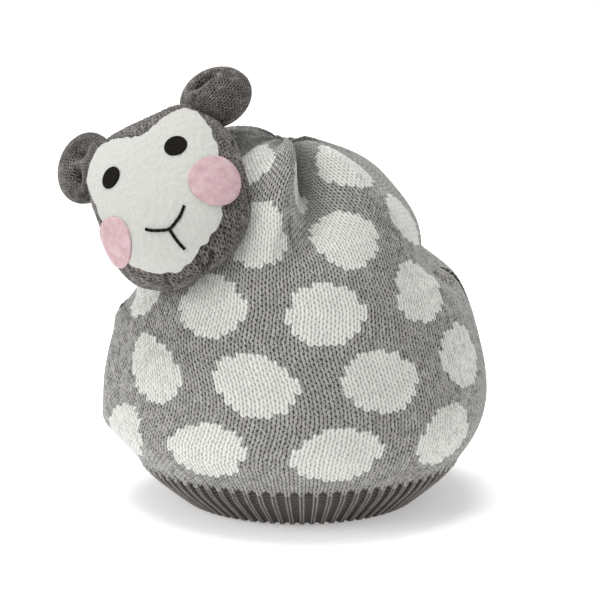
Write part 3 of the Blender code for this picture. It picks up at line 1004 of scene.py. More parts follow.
def spotted_finish(colours, sizes):
    """The panels' knit: a marl ground with spots that are knitted in, stitch by stitch."""
    finish = Finish("spotted_knit")
    wale, course = finish.map_places("Knit", WALES, COURSES)
    tooth = abs(wale.fraction() * 2.0 - 1.0) * TOOTH
    column, row = wale.floor() + 0.5, (course - tooth).floor() + 0.5
    line = ((row - SPOT_START) / SPOT_PITCH).rounded().at_least(0.0).at_most(SPOT_ROWS - 1.0)
    odd = (line * 0.5).fraction() * 2.0
    start = SPOT_LEFT[0] + odd * (SPOT_LEFT[1] - SPOT_LEFT[0])
    place = ((column - start) / SPOT_SPACING).rounded().at_least(0.0).at_most(SPOT_COLUMNS - 1.0)
    uneven = (finish.chance(column, line, 2.0) - 0.5) * SPOT_UNEVEN
    across = (column - start - place * SPOT_SPACING) / (sizes.spot_wales / 2.0)
    rise = (row - SPOT_START - line * SPOT_PITCH) / (sizes.spot_courses / 2.0) + uneven
    spot = (across * across + rise * rise) < 1.0
    light = finish.mix(spot, tuple(colours.ground), tuple(colours.spot))
    # The dark colour is painted shade for the gaps between legs, paler in the spots
    dark = finish.mix(spot, tuple(colours.ground_gap_shade), tuple(colours.spot_gap_shade))
    # Near the gather the painted gap shade fades towards the yarn's own colour
    dark = finish.mix(course.between(COURSES * SHADE_FADE_FROM, COURSES) * GAP_SHADE_FADE, dark, light)
    marl = GROUND_MARL + spot * (SPOT_MARL - GROUND_MARL)
    return stitched(finish, wale, course, light, dark, marl, PANEL_LEG, PANEL_STRAY)


def head_finish(name, wales, courses, colours):
    """The plain knit of the head or the ears."""
    finish = Finish(name)
    wale, course = finish.map_places("Knit", wales, courses)
    return stitched(finish, wale, course, tuple(colours.head), tuple(colours.head_gap_shade),
                    HEAD_MARL, HEAD_LEG, HEAD_STRAY)


# The welt's ribs in shares of a rib: the two cords lie CORD_OFF to each side of CORD_MIDDLE,
# and the purl bars start at PURL_EDGE from it. A cord's strands lean by CORD_LEAN.
CORD_MIDDLE = 0.75
CORD_OFF = 0.125
CORD_HALF = 0.11
CORD_LEAN = 2.2
CORD_SHADE = 0.25
PURL_EDGE = (0.22, 0.32)
PURL_SHADE = 0.28

# How much the welt's fibres and stitches vary its brightness, and how high its twist, its purl
# bars and its fibres stand
RIB_FIBRE_SHADE = 0.5
RIB_STITCH_SHADE = 0.3
TWIST_RELIEF = 0.4
PURL_RELIEF = 0.5
RIB_FIBRE_RELIEF = 0.3


def rib_finish(colours):
    """The welt's knit: two smooth cords in each rib, and purl bars between the ribs."""
    finish = Finish("rib_knit")
    rib, course = finish.map_places("Knit", RIBS, WELT_COURSES)
    off = abs(rib.fraction() - CORD_MIDDLE)
    cord = 1.0 - (abs(off - CORD_OFF) / CORD_HALF).at_most(1.0) ** 2.0
    stitch = finish.chance((rib * 4.0).floor(), course.floor(), 1.0)
    twist = (course + off * CORD_LEAN).wave()
    purl = course.wave() * off.between(*PURL_EDGE)
    fibres = finish.noise("fluff")
    # Painted shade: the colour runs from the cords' own at their crests to dark trough shade beside
    # them, and the purl bars lighten the troughs
    shade = cord * (twist * CORD_SHADE + (1.0 - CORD_SHADE)) + purl * PURL_SHADE
    colour = finish.mix(shade.at_most(1.0), tuple(colours.welt_trough_shade), tuple(colours.welt))
    colour = finish.brightened(
        colour, fibres.round_one(RIB_FIBRE_SHADE) * stitch.round_one(RIB_STITCH_SHADE))
    height = cord * (twist * TWIST_RELIEF + (1.0 - TWIST_RELIEF)) + purl * PURL_RELIEF
    return finish.dress(colour, height + fibres * RIB_FIBRE_RELIEF)


# The fleece: how dark its painted shade is between its tufts, over which of their heights it
# brightens, how much its curls vary its brightness, and how high tufts and curls stand
TUFT_PAINTED_SHADE = 0.88
TUFT_EDGE = (0.3, 0.7)
CURL_SHADE = 0.12
TUFT_RELIEF = 0.6
CURL_RELIEF = 0.8


def fleece_finish(colours):
    """White fleece: fine tufts on soft curls, a little darker between the tufts with painted shade.
    """
    finish = Finish("white_fleece")
    tufts, curls = finish.noise("tufts"), finish.noise("curls")
    # Painted shade for the low places between the tufts
    shaded = tuple(TUFT_PAINTED_SHADE * part for part in colours.fleece)
    colour = finish.mix(tufts.between(*TUFT_EDGE), shaded, tuple(colours.fleece))
    colour = finish.brightened(colour, curls.round_one(CURL_SHADE))
    return finish.dress(colour, tufts * TUFT_RELIEF + curls * CURL_RELIEF)


# The felt: how pale its paler fibres are, where in the mottle they lie, how much they show, how
# much all its fibres vary its brightness, and how high the mottle stands
FELT_PALE = 0.35
MOTTLE_EDGE = (0.35, 0.7)
MOTTLE_SHARE = 0.6
FELT_SHADE = 0.24
MOTTLE_RELIEF = 0.6


def felt_finish(colours):
    """Pink felt, mottled where its paler fibres lie together."""
    finish = Finish("pink_felt")
    fibres, mottle = finish.noise("felt_fibres"), finish.noise("mottle")
    pale = tuple(min(1.0, FELT_PALE + (1.0 - FELT_PALE) * part) for part in colours.felt)
    colour = finish.mix(mottle.between(*MOTTLE_EDGE) * MOTTLE_SHARE, tuple(colours.felt), pale)
    colour = finish.brightened(colour, fibres.round_one(FELT_SHADE))
    return finish.dress(colour, fibres + mottle * MOTTLE_RELIEF)


# The black thread: how much brighter its strands glint, and over which of their heights
GLINT = 2.6
GLINT_EDGE = (0.35, 0.75)

# The satin stitches of the eyes: how far apart they lie, how they slant, and how much they vary
# the thread's brightness
STITCH_SPACING = 0.45
STITCH_SLANT = 0.35
STITCH_SHADE = 0.6


def thread_finish(name, colours, spacing=None):
    """Black embroidery thread, whose stitches lie side by side where a spacing is given."""
    finish = Finish(name)
    height = finish.noise("strands")
    glint = tuple(GLINT * part for part in colours.thread)
    colour = finish.mix(height.between(*GLINT_EDGE), tuple(colours.thread), glint)
    if spacing:
        across, up = finish.map_places("Cloth", FACE_SPAN, FACE_SPAN)
        lines = ((across * STITCH_SLANT + up) * (1.0 / spacing)).wave()
        colour = finish.brightened(colour, lines.round_one(STITCH_SHADE))
        height = lines + height
    return finish.dress(colour, height)


# ---- Settings --------------------------------------------------------------

def colour_setting(name, description, value):
    """A colour that a user may change."""
    return bpy.props.FloatVectorProperty(name=name, description=description, default=value,
                                         subtype="COLOR", size=3, min=0.0, max=1.0)


def length_setting(name, description, value):
    """A length in metres that a user may change."""
    return bpy.props.FloatProperty(name=name, description=description, default=value,
                                   unit="LENGTH", subtype="DISTANCE", min=0.0)


class CosySizes(bpy.types.PropertyGroup):
    """Sizes of the knit and of what is sewn on."""

    spot_wales: bpy.props.FloatProperty(
        name="Spot width", description="A spot's width in wales", default=10.4, min=1.0)
    spot_courses: bpy.props.FloatProperty(
        name="Spot height", description="A spot's height in courses", default=11.8, min=1.0)
    knit_relief: length_setting("Knit relief", "How far a stitch's legs stand out", 0.0007)
    head_relief: length_setting("Head knit relief", "The same on the head and ears", 0.0007)
    fleece_pile: length_setting("Fleece pile", "The height of the fleece's tufts", 0.0003)


class CosyColours(bpy.types.PropertyGroup):
    """Colours of the yarns and cloths, and of the painted shade in their gaps and troughs."""

    ground: colour_setting("Ground", "The marl yarn", (0.365, 0.358, 0.338))
    # Painted shade in the marl's gaps between legs
    ground_gap_shade: colour_setting("Ground gaps", "The marl between its legs", (0.042, 0.039, 0.036))
    spot: colour_setting("Spots", "The off-white yarn", (0.76, 0.765, 0.72))
    # Painted shade in the off-white knit's gaps between legs
    spot_gap_shade: colour_setting("Spot gaps", "The off-white knit between legs", (0.42, 0.415, 0.38))
    welt: colour_setting("Welt", "The ribs' raised cords", (0.285, 0.255, 0.236))
    # Painted shade in the welt's troughs between cords and ribs
    welt_trough_shade: colour_setting("Welt troughs", "The welt between its ribs", (0.036, 0.029, 0.026))
    head: colour_setting("Head", "The head's and ears' yarn", (0.168, 0.149, 0.134))
    # Painted shade in the head's and ears' gaps between legs
    head_gap_shade: colour_setting("Head gaps", "The head's knit between legs", (0.016, 0.013, 0.012))
    fleece: colour_setting("Fleece", "The face", (0.55, 0.555, 0.52))
    felt: colour_setting("Felt", "The cheeks", (0.48, 0.30, 0.325))
    thread: colour_setting("Thread", "The eyes and mouth", (0.006, 0.005, 0.0045))


class StageSettings(bpy.types.PropertyGroup):
    """The floor, the camera and the lights."""

    floor: colour_setting("Floor", "The floor's colour", (1.0, 1.0, 1.0))
    lens: bpy.props.FloatProperty(
        name="Lens", description="The camera's focal length in millimetres", default=182.84,
        min=1.0, unit="CAMERA")
    distance: length_setting("Distance", "From the camera to the cosy's middle", 1.3624)
    height: length_setting("Height", "The camera's height over the floor", 0.3884)


# ---- Pieces ----------------------------------------------------------------

def edge_inset(slit, length, width):
    """How far, as a share of its row, a panel's outer face stops short of a slit."""
    opening, _ = slit_opening(slit, profile_at(length)[0])
    return min(EDGE_INSET * min(1.0, opening / INSET_OPENING) / width, MOST_INSET)


def panel_grid(panel):
    """The smooth outer face of a panel, a row for each third of a course, and its edges."""
    rows, columns = COURSES * STITCH_ROWS + 1, WALES * STITCH_COLUMNS + 1
    shares = np.linspace(0.0, 1.0, FINE_POINTS * columns)
    places = np.linspace(0.0, 1.0, columns)
    slits = SLITS if panel == "front" else SLITS[::-1]
    grid, edges = [], []
    for up in np.linspace(0.0, 1.0, rows):
        risen = (CLOTH_LENGTH - PANEL_START) * up
        lengths = panel_lengths(slits[0][0], shares, up)
        angles = panel_angles(slits, profile_at(lengths)[0], shares)
        roll = ROLL_PUSH * max(0.0, 1.0 - risen / ROLL_LENGTH) ** 2
        line = cloth_points(angles, lengths, roll)
        along = lengths_along(line)
        if panel == "front":
            near = max(0.0, 1.0 - (CLOTH_LENGTH - PANEL_START - risen) / CROWD_REACH) ** CROWD_FADE
            closeness = 1.0 + (np.interp(angles, *CROWDING.T) - 1.0) * near
            steps = np.diff(along) * (closeness[1:] + closeness[:-1]) / 2.0
            along = np.concatenate([[0.0], np.cumsum(steps)])
        part = min(risen / EVEN_LENGTH, 1.0)
        turned = (angles - angles[0]) / (angles[-1] - angles[0])
        even = EVEN_WALES * part * along / along[-1] + (1.0 - EVEN_WALES * part) * turned
        wave = np.sin(2.0 * math.pi * places) / (2.0 * math.pi)
        wanted = np.interp(places - MIDDLE_WALES * part * wave, shares, turned)
        first, last = (edge_inset(slit, length, along[-1])
                       for slit, length in zip(slits, lengths[[0, -1]]))
        at = np.interp(first + wanted * (1.0 - first - last), even, angles)
        grid.append(cloth_points(at, np.interp(at, angles, lengths), roll))
        edges.append(line[[0, -1]])
    return np.array(grid), np.array(edges)


def panel_blocks(panel, relief):
    """A panel's points: outer and inner face, left and right edge, lower and upper edge."""
    smooth, edges = panel_grid(panel)
    normals = grid_normals(smooth, False)
    if (smooth[..., :2] * normals[..., :2]).sum() < 0.0:
        raise RuntimeError(f"the {panel} panel's normals point inwards")
    outer = knitted(smooth, False, relief)
    sink = DIP_DEPTH * np.maximum(0.0, 1.0 - np.arange(len(outer)) / DIP_ROWS) ** DIP_FADE
    dip = DIP_ACROSS[np.arange(outer.shape[1]) % len(DIP_ACROSS)]
    outer -= normals * (sink[:, None] * dip[None, :])[..., None]
    inner = (smooth - normals * CLOTH_THICK)[::STITCH_ROWS, ::STITCH_COLUMNS]
    middle = smooth - normals * (CLOTH_THICK / 2.0)
    left, right = (edges[:, side] - normals[:, side] * (CLOTH_THICK / 2.0) for side in (0, -1))

    tooth = TEETH[np.arange(outer.shape[1]) % len(TEETH)]
    upward = smooth[TOOTH_ROWS] - smooth[0]
    upward *= (tooth / np.linalg.norm(upward, axis=-1))[:, None]
    for row in range(TOOTH_ROWS):
        outer[row] += upward * (1.0 - row / TOOTH_ROWS) ** 2
    low = middle[0] + (smooth[0] - smooth[1]) * TOOTH_DROP + upward
    low[0], low[-1] = left[0], right[0]

    height, _, shift_x, shift_y = profile_at(CLOTH_LENGTH)
    thread = np.array([shift_x, shift_y, height - THREAD_DEPTH])
    high = middle[-1].copy()
    high[0], high[-1] = left[-1], right[-1]
    high = thread + (high - thread) * THREADED
    return outer, inner, left[1:-1], right[1:-1], low, high


def make_panel(panel, finish, relief):
    """A panel as a closed cloth: stitches outside, a plain inner face and rounded edges."""
    blocks = panel_blocks(panel, relief)
    rows, columns = blocks[0].shape[:2]
    points = [block.reshape(-1, 3) for block in blocks]
    starts = np.cumsum([0] + [len(part) for part in points])
    outer, inner, left, right, low, high = (
        start + np.arange(len(part)) for start, part in zip(starts, points))
    outer, inner = outer.reshape(rows, columns), inner.reshape(blocks[1].shape[:2])
    left = np.concatenate([low[:1], left, high[:1]])
    right = np.concatenate([low[-1:], right, high[-1:]])

    faces = grid_faces(outer, False).tolist() + grid_faces(inner, False)[:, ::-1].tolist()
    for edge, rim in ((outer[0][::-1], low[::-1]), (outer[:, -1][::-1], right[::-1]),
                      (outer[-1], high), (outer[:, 0], left)):
        faces += [(rim[step], rim[step + 1], edge[step + 1], edge[step])
                  for step in range(len(edge) - 1)]
    for rim, edge, every in (
            (low, inner[0], STITCH_COLUMNS), (right, inner[:, -1], STITCH_ROWS),
            (high[::-1], inner[-1][::-1], STITCH_COLUMNS),
            (left[::-1], inner[:, 0][::-1], STITCH_ROWS)):
        faces += [face[::-1] for face in strip_faces(rim, edge, every)]

    # The back panel's rows of spots start from its other side.
    ends = (0.0, 1.0) if panel == "front" else (1.0, 0.0)
    across, up = np.meshgrid(np.linspace(*ends, columns), np.linspace(0.0, 1.0, rows))
    knit = np.stack([across, up], -1)
    parts = (knit, knit[::STITCH_ROWS, ::STITCH_COLUMNS], knit[1:-1, 0], knit[1:-1, -1],
             knit[0], knit[-1])
    places = np.concatenate([part.reshape(-1, 2) for part in parts])
    return make_piece(f"panel_{panel}", np.concatenate(points) + AXIS, faces, {"Knit": places},
                      finish)


def make_welt(finish):
    """The ribbed welt, with two cords in each rib, drawn in at the hem."""
    table = np.array(RIB)
    columns, rows = RIBS * len(RIB), WELT_COURSES * WELT_ROWS + 1
    share = (np.arange(RIBS)[:, None] + table[None, :, 0]).ravel() / RIBS
    angle = SPOUT_SLIT[0] + 360.0 * share
    height, bars, cords = (np.tile(table[:, column], RIBS) for column in (1, 2, 3))
    start = panel_start(angle)
    outer, plain = [], []
    for row in range(rows):
        length = (start + WELT_HIDDEN) * row / (rows - 1.0)
        tucked = 1.0 - (start + WELT_TUCKED - length) / WELT_TUCK_LENGTH
        tuck = WELT_TUCK * np.clip(tucked, 0.0, 1.0) ** WELT_BEND
        tuck = tuck - HEM_FLARE * np.maximum(0.0, 1.0 - length / HEM_FLARE_LENGTH) ** 2
        wave = math.cos(2.0 * math.pi * row / WELT_ROWS)
        outer.append(cloth_points(angle, length, height + (bars - cords) * wave - tuck))
        plain.append(cloth_points(angle, length, -tuck - WELT_SET_IN))
    outer, plain = np.array(outer), np.array(plain)
    inner = plain - grid_normals(plain, True) * (CLOTH_THICK - WELT_SET_IN)
    scallop = np.tile(np.interp(table[:, 0], *HEM_SCALLOPS.T), RIBS)
    outer[0, :, 2] = inner[0, :, 2] = HEM_RISE + scallop
    rim = (outer[0] + inner[0]) / 2.0
    rim[:, 2] = scallop * EDGE_SCALLOP
    for part in (outer, inner):
        part[..., 2] = np.maximum(part[..., 2], HEM_CLEAR)

    points = np.concatenate([outer.reshape(-1, 3), inner.reshape(-1, 3), rim])
    outer = np.arange(rows * columns).reshape(rows, columns)
    inner = outer + rows * columns
    rim = 2 * rows * columns + np.arange(columns)[None]
    faces = grid_faces(outer, True).tolist() + grid_faces(inner, True)[:, ::-1].tolist()
    for lower, upper in ((inner[:1], rim), (rim, outer[:1]), (outer[-1:], inner[-1:])):
        faces += grid_faces(np.concatenate([lower, upper]), True).tolist()
    across, up = np.meshgrid(share, np.linspace(0.0, 1.0, rows))
    knit = np.stack([across, up], -1).reshape(-1, 2)
    places = np.concatenate([knit, knit, knit[:columns]])
    return make_piece("welt", points + AXIS, faces, {"Knit": places}, finish)


# ---- The head's form -------------------------------------------------------

HEAD_MATRIX = (Matrix.Translation(Vector(AXIS + HEAD_CENTRE))
               @ Euler([math.radians(angle) for angle in HEAD_TURN], "ZYX").to_matrix().to_4x4())


def moved(matrix, points):
    """Points brought from a piece's own frame to where it is."""
    table = np.array(matrix)
    return points @ table[:3, :3].T + table[:3, 3]


def swell(points):
    """How far the stuffing swells or slackens the head at places on it."""
    table = np.array(HEAD_SWELLS)
    off = np.linalg.norm(points[..., None, :] - table[:, :3], axis=-1)
    near = np.exp(-(off / SWELL_REACH) ** 2)
    return (near * table[:, 3]).sum(-1) / np.maximum(near.sum(-1), 1.0)


def plain_head(points):
    """Points brought onto the head's plain form, and its normals there."""
    halves = np.tile(HEAD_HALF, points.shape[:-1] + (1,))
    halves[..., 2] = np.where(points[..., 2] > 0.0, BROW_HALF, HEAD_HALF[2])
    shares = points / halves
    size = (np.abs(shares) ** HEAD_SQUARE).sum(-1, keepdims=True) ** (1.0 / HEAD_SQUARE)
    slope = np.sign(shares) * np.abs(shares / size) ** (HEAD_SQUARE - 1.0) / halves
    return points / size, slope / np.linalg.norm(slope, axis=-1, keepdims=True)


def on_head(points, lift=0.0):
    """Points brought onto the head's swollen form, then lifted off it."""
    plain, normal = plain_head(points)
    return plain + normal * (swell(plain) + np.asarray(lift))[..., None]


def face_share(points):
    """How far places are from the face's middle: 1 on the fleece's outline, more beyond it."""
    outline = face_outline()[:, [0, 2]] - FACE_MIDDLE
    turns = np.arctan2(outline[:, 0], outline[:, 1])
    order = np.argsort(turns)
    away = points[..., [0, 2]] - FACE_MIDDLE
    reach = np.interp(np.arctan2(away[..., 0], away[..., 1]), turns[order],
                      np.linalg.norm(outline, axis=-1)[order], period=2.0 * math.pi)
    share = np.linalg.norm(away, axis=-1) / reach
    return np.where(points[..., 1] < FACE_SIDE, share, BEHIND)


def head_shape(way):
    """The head's point for a direction; the knit's two ends are turned to its back."""
    turned = way + np.array([0.0, 1.0, 0.0]) * (HEAD_TUCK * way[..., 2:] ** 2)
    point = on_head(turned * HEAD_HALF)
    plain, _ = plain_head(point)
    lift = np.interp(face_share(point), *FACE_BED.T)
    for start, stop, width, depth in HEAD_CREASES:
        start, stop = np.array(start), np.array(stop)
        line = stop - start
        along = np.clip((plain - start) @ line / (line @ line), 0.0, 1.0)
        off = np.linalg.norm(plain - start - along[..., None] * line, axis=-1)
        lift = lift - depth * np.exp(-(off / width) ** 2)
    return on_head(point, lift)


def on_face(places, lift=0.0):
    """Points of the face from distances across and up."""
    places = np.asarray(places, dtype=float)
    across, up = places[..., 0], places[..., 1]
    high = np.where(up > 0.0, BROW_HALF, HEAD_HALF[2])
    rest = 1.0 - np.abs(across / HEAD_HALF[0]) ** HEAD_SQUARE - np.abs(up / high) ** HEAD_SQUARE
    depth = HEAD_HALF[1] * np.maximum(rest, 0.0) ** (1.0 / HEAD_SQUARE)
    return on_head(np.stack([across, -depth, up], -1), lift)


def ball_grid(wales, courses, shape):
    """A stuffed piece's smooth grid: wales run from its foot to its top, evenly spaced."""
    turns = np.linspace(0.0, 2.0 * math.pi, 2 * BALL_SAMPLES + 1)
    heights = np.linspace(0.0, math.pi, BALL_SAMPLES + 1)
    ring = shape(np.stack([np.sin(turns), -np.cos(turns), 0.0 * turns], -1))
    line = shape(np.stack([np.sin(heights), 0.0 * heights, -np.cos(heights)], -1))
    round_it, up_it = lengths_along(ring), lengths_along(line)
    columns, rows = wales * STITCH_COLUMNS, courses * STITCH_ROWS
    turn = np.interp(np.arange(columns) / columns * round_it[-1], round_it, turns)
    rise = np.interp(np.arange(1, rows) / rows * up_it[-1], up_it, heights)
    rise, turn = np.meshgrid(rise, turn, indexing="ij")
    way = np.sin(rise) * np.sin(turn), -np.sin(rise) * np.cos(turn), -np.cos(rise)
    ends = shape(np.array([[0.0, 0.0, -1.0], [0.0, 0.0, 1.0]]))
    return shape(np.stack(way, -1)), ends


def make_ball(name, shape, matrix, press, gap, knit, finish, relief):
    """A stuffed piece of a shape, pressed on what it is sewn to, then knitted."""
    wales, courses = knit
    grid, ends = (moved(matrix, part) for part in ball_grid(wales, courses, shape))
    rows, columns = grid.shape[:2]
    index = np.arange(rows * columns).reshape(rows, columns)
    foot, top = rows * columns, rows * columns + 1
    faces = grid_faces(index, True).tolist()
    for column in range(columns):
        after = (column + 1) % columns
        faces.append((foot, index[0, after], index[0, column]))
        faces.append((top, index[-1, column], index[-1, after]))
    across, up = np.meshgrid(np.arange(columns) / columns, np.arange(1, rows + 1) / (rows + 1))
    places = np.concatenate([np.stack([across, up], -1).reshape(-1, 2), [[0.5, 0.0], [0.5, 1.0]]])
    ball = make_piece(name, np.concatenate([grid.reshape(-1, 3), ends]), faces,
                      {"Knit": places}, finish)
    mend_seam(ball)
    wrap = ball.modifiers.new("Pressed on", "SHRINKWRAP")
    wrap.target = press
    wrap.wrap_method = "NEAREST_SURFACEPOINT"
    wrap.wrap_mode = "OUTSIDE"
    wrap.offset = gap * MM
    only(ball)
    bpy.ops.object.modifier_apply(modifier=wrap.name)
    pressed = np.empty(len(ball.data.vertices) * 3)
    ball.data.vertices.foreach_get("co", pressed)
    pressed = pressed.reshape(-1, 3) / MM
    near_pole = np.minimum(np.arange(rows), np.arange(rows)[::-1]) / (POLE_COURSES * STITCH_ROWS)
    fade = np.minimum(near_pole, 1.0)[:, None] * np.ones((1, columns))
    raised = knitted(pressed[:-2].reshape(rows, columns, 3), True, relief, fade)
    pressed[:-2] = raised.reshape(-1, 3)
    ball.data.vertices.foreach_set("co", (pressed * MM).ravel())
    ball.data.update()
    return ball


def mend_seam(ball):
    """The last column's faces end at 1 in the map, not back at 0."""
    layer = ball.data.uv_layers["Knit"].data
    uv = np.empty(len(layer) * 2, dtype=np.float32)
    layer.foreach_get("uv", uv)
    uv = uv.reshape(-1, 2)
    for face in ball.data.polygons:
        corners = list(face.loop_indices)
        if max(uv[corners, 0]) - min(uv[corners, 0]) > SEAM_JUMP:
            for corner in corners:
                if uv[corner, 0] < 1.0 - SEAM_JUMP:
                    uv[corner, 0] += 1.0
    layer.foreach_set("uv", uv.ravel())


def only(thing):
    """Select one object and nothing else."""
    bpy.ops.object.select_all(action="DESELECT")
    thing.select_set(True)
    bpy.context.view_layer.objects.active = thing


def form_mesh():
    """The cosy's smooth outer face, against which the head is pressed."""
    angles = np.linspace(-90.0, 270.0, FORM_COLUMNS + 1)[:-1]
    lengths = np.linspace(FORM_START, CLOTH_LENGTH, FORM_ROWS)
    points = cloth_points(*np.meshgrid(angles, lengths), FORM_LIFT) + AXIS
    index = np.arange(FORM_COLUMNS * FORM_ROWS).reshape(FORM_ROWS, FORM_COLUMNS)
    mesh = bpy.data.meshes.new("cosy_form")
    mesh.from_pydata((points.reshape(-1, 3) * MM).tolist(), [], grid_faces(index, True).tolist())
    form = bpy.data.objects.new("cosy_form", mesh)
    bpy.context.scene.collection.objects.link(form)
    return form


def ear_shape(way, sizes):
    """A puffy ear with dents in its front, for a direction from its middle."""
    half_width, half_height, front, back, turn, dents = sizes
    lean = math.radians(turn)
    across = way[..., 0] * math.cos(lean) + way[..., 2] * math.sin(lean)
    up = way[..., 2] * math.cos(lean) - way[..., 0] * math.sin(lean)
    deep = way[..., 1]
    depth = np.where(deep < 0.0, front, back) * deep
    for dent_across, dent_up, width, height, dent_depth in dents:
        off = ((across - dent_across) / width) ** 2 + ((up - dent_up) / height) ** 2
        depth = depth + dent_depth * np.exp(-off) * np.clip(-DENT_FADE * deep, 0.0, 1.0)
    return np.stack([half_width * across, depth, half_height * up], -1)


def patch(name, outline, count, gap, thick, rounding, finish):
    """A thin closed cloth on the head: its outline, its rings, the gap below it, its thickness
    and how far in its edge is rounded."""
    rings, offs = rounded_rings(outline, count)
    lifts = [edge_lift(gap, thick, off, rounding) for off in offs]
    corners = len(outline)
    middle = rings[0].mean(axis=0)
    points, faces, places = [], [], []
    for side in (1, 0):
        first = len(points)
        points.append(on_head(middle[None], np.array([lifts[0][side]]))[0])
        places.append(middle[[0, 2]])
        for ring, lift in zip(rings, lifts):
            points.extend(on_head(ring, np.full(corners, lift[side])))
            places.extend(ring[:, [0, 2]])
        index = first + 1 + np.arange(count * corners).reshape(count, corners)
        quads = grid_faces(index, True)
        fan = [(first, index[0, (corner + 1) % corners], index[0, corner])
               for corner in range(corners)]
        if side == 1:
            upper, faces = index, quads.tolist() + fan
        else:
            faces += quads[:, ::-1].tolist() + [face[::-1] for face in fan]
            faces += grid_faces(np.stack([upper[-1], index[-1]]), True).tolist()
    places = np.array(places) / FACE_SPAN + 0.5
    return make_piece(name, moved(HEAD_MATRIX, np.array(points)), faces, {"Cloth": places}, finish)


def edge_lift(gap, thick, off_edge, rounding):
    """The lower and upper lift of a cloth's ring, whose edge is rounded over its last part."""
    inward = min(off_edge / rounding, 1.0)
    bulge = math.sqrt(1.0 - (1.0 - inward) ** 2)
    middle = gap + thick / 2.0
    lower = gap if inward > 0.0 else middle - EDGE_FOOT * thick
    return lower, middle + thick / 2.0 * (EDGE_LIP + (1.0 - EDGE_LIP) * bulge)


def rounded_rings(outline, count):
    """Rings that shrink to an outline's middle, closer together near the edge."""
    middle = outline.mean(axis=0)
    size = np.linalg.norm(outline - middle, axis=-1).mean()
    shares = 1.0 - (1.0 - np.linspace(0.0, 1.0, count + 1)[1:]) ** RING_CROWDING
    rings = [middle + (outline - middle) * share for share in shares]
    return rings, (1.0 - shares) * size


def face_outline():
    """The fleece's cut edge on the head, a little uneven where the knit bites into it."""
    around = FACE_OUTLINE[-2:] + FACE_OUTLINE + FACE_OUTLINE[:3]
    edge = smooth_curve(around, FACE_STEPS)[2 * FACE_STEPS:-2 * FACE_STEPS - 1]
    turns = np.arange(len(edge)) / len(edge) * 2.0 * math.pi
    waves = sum(height * np.sin(number * turns + start) for number, start, height in FACE_WAVES)
    away = edge - FACE_MIDDLE
    return on_face(edge + away / np.linalg.norm(away, axis=-1, keepdims=True) * waves[:, None])


def disc_outline(across, up, radius, corners):
    """A round outline that lies flat on the head about a place on its face."""
    middle = on_face((across, up))
    normal = on_face((across, up), 1.0) - middle
    normal /= np.linalg.norm(normal)
    side = np.cross([0.0, 0.0, 1.0], normal)
    side /= np.linalg.norm(side)
    rise = np.cross(normal, side)
    turns = -2.0 * math.pi * np.arange(corners) / corners
    return middle + (np.outer(np.cos(turns), side) + np.outer(np.sin(turns), rise)) * radius


def ruffle(thing, height, scale, place):
    """Move a mesh's points a little along their normals by an uneven amount."""
    mesh = thing.data
    shift = Vector((place, 2.0 * place, 3.0 * place))
    points = [vertex.co + vertex.normal
              * (noise.fractal(vertex.co * scale + shift, 1.0, 2.0, 3) * height)
              for vertex in mesh.vertices]
    mesh.vertices.foreach_set("co", np.array(points).ravel())
    mesh.update()


def stitched_line(route):
    """A line of thick thread along a route on the face, as a mesh object."""
    bpy.ops.object.select_all(action="DESELECT")
    bpy.ops.curve.primitive_nurbs_path_add()
    curve = bpy.context.object.data
    curve.splines.clear()
    points = smooth_curve(route, MOUTH_STEPS)
    lift = np.full(len(points), FACE_TOP + MOUTH_LIFT)
    spots = moved(HEAD_MATRIX, on_face(points, lift)) * MM
    spline = curve.splines.new("POLY")
    spline.points.add(len(points) - 1)
    for number, (control, spot) in enumerate(zip(spline.points, spots)):
        control.co = (*spot, 1.0)
        swell = abs(math.sin(math.pi * number / MOUTH_STEPS * MOUTH_STITCHES))
        control.radius = MOUTH_WAIST + (1.0 - MOUTH_WAIST) * swell
    curve.bevel_depth = MOUTH_THREAD * MM
    curve.bevel_resolution = 4
    curve.use_fill_caps = True
    bpy.ops.object.convert(target="MESH")
    return bpy.context.object


def facing(place, target):
    """How a lamp or the camera at a place is turned to look at a target."""
    return (target - Vector(place)).to_track_quat("-Z", "Y").to_euler()


# ---- Operators -------------------------------------------------------------

class COSY_OT_panels(bpy.types.Operator):
    """Knit the front and the back panel with their spots"""

    bl_idname = "cosy.panels"
    bl_label = "Knit the panels"

    def execute(self, context):
        sizes, colours = context.scene.cosy_sizes, context.scene.cosy_colours
        finish = spotted_finish(colours, sizes)
        for panel in ("front", "back"):
            thing = make_panel(panel, finish, sizes.knit_relief / MM)
            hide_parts("knitted_cosy")
        return {"FINISHED"}


class COSY_OT_welt(bpy.types.Operator):
    """Knit the ribbed welt"""

    bl_idname = "cosy.welt"
    bl_label = "Knit the welt"

    def execute(self, context):
        thing = make_welt(rib_finish(context.scene.cosy_colours))
        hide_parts("knitted_cosy")
        return {"FINISHED"}


class COSY_OT_head(bpy.types.Operator):
    """Stuff the head and sew it to the shoulder"""

    bl_idname = "cosy.head"
    bl_label = "Stuff the head"

    def execute(self, context):
        sizes, colours = context.scene.cosy_sizes, context.scene.cosy_colours
        knit = HEAD_WALES, HEAD_COURSES
        form = form_mesh()
        head = make_ball("stuffed_head", head_shape, HEAD_MATRIX, form, HEAD_GAP, knit,
                         head_finish("head_knit", *knit, colours), sizes.head_relief / MM)
        bpy.data.objects.remove(form)
        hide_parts("head")
        return {"FINISHED"}


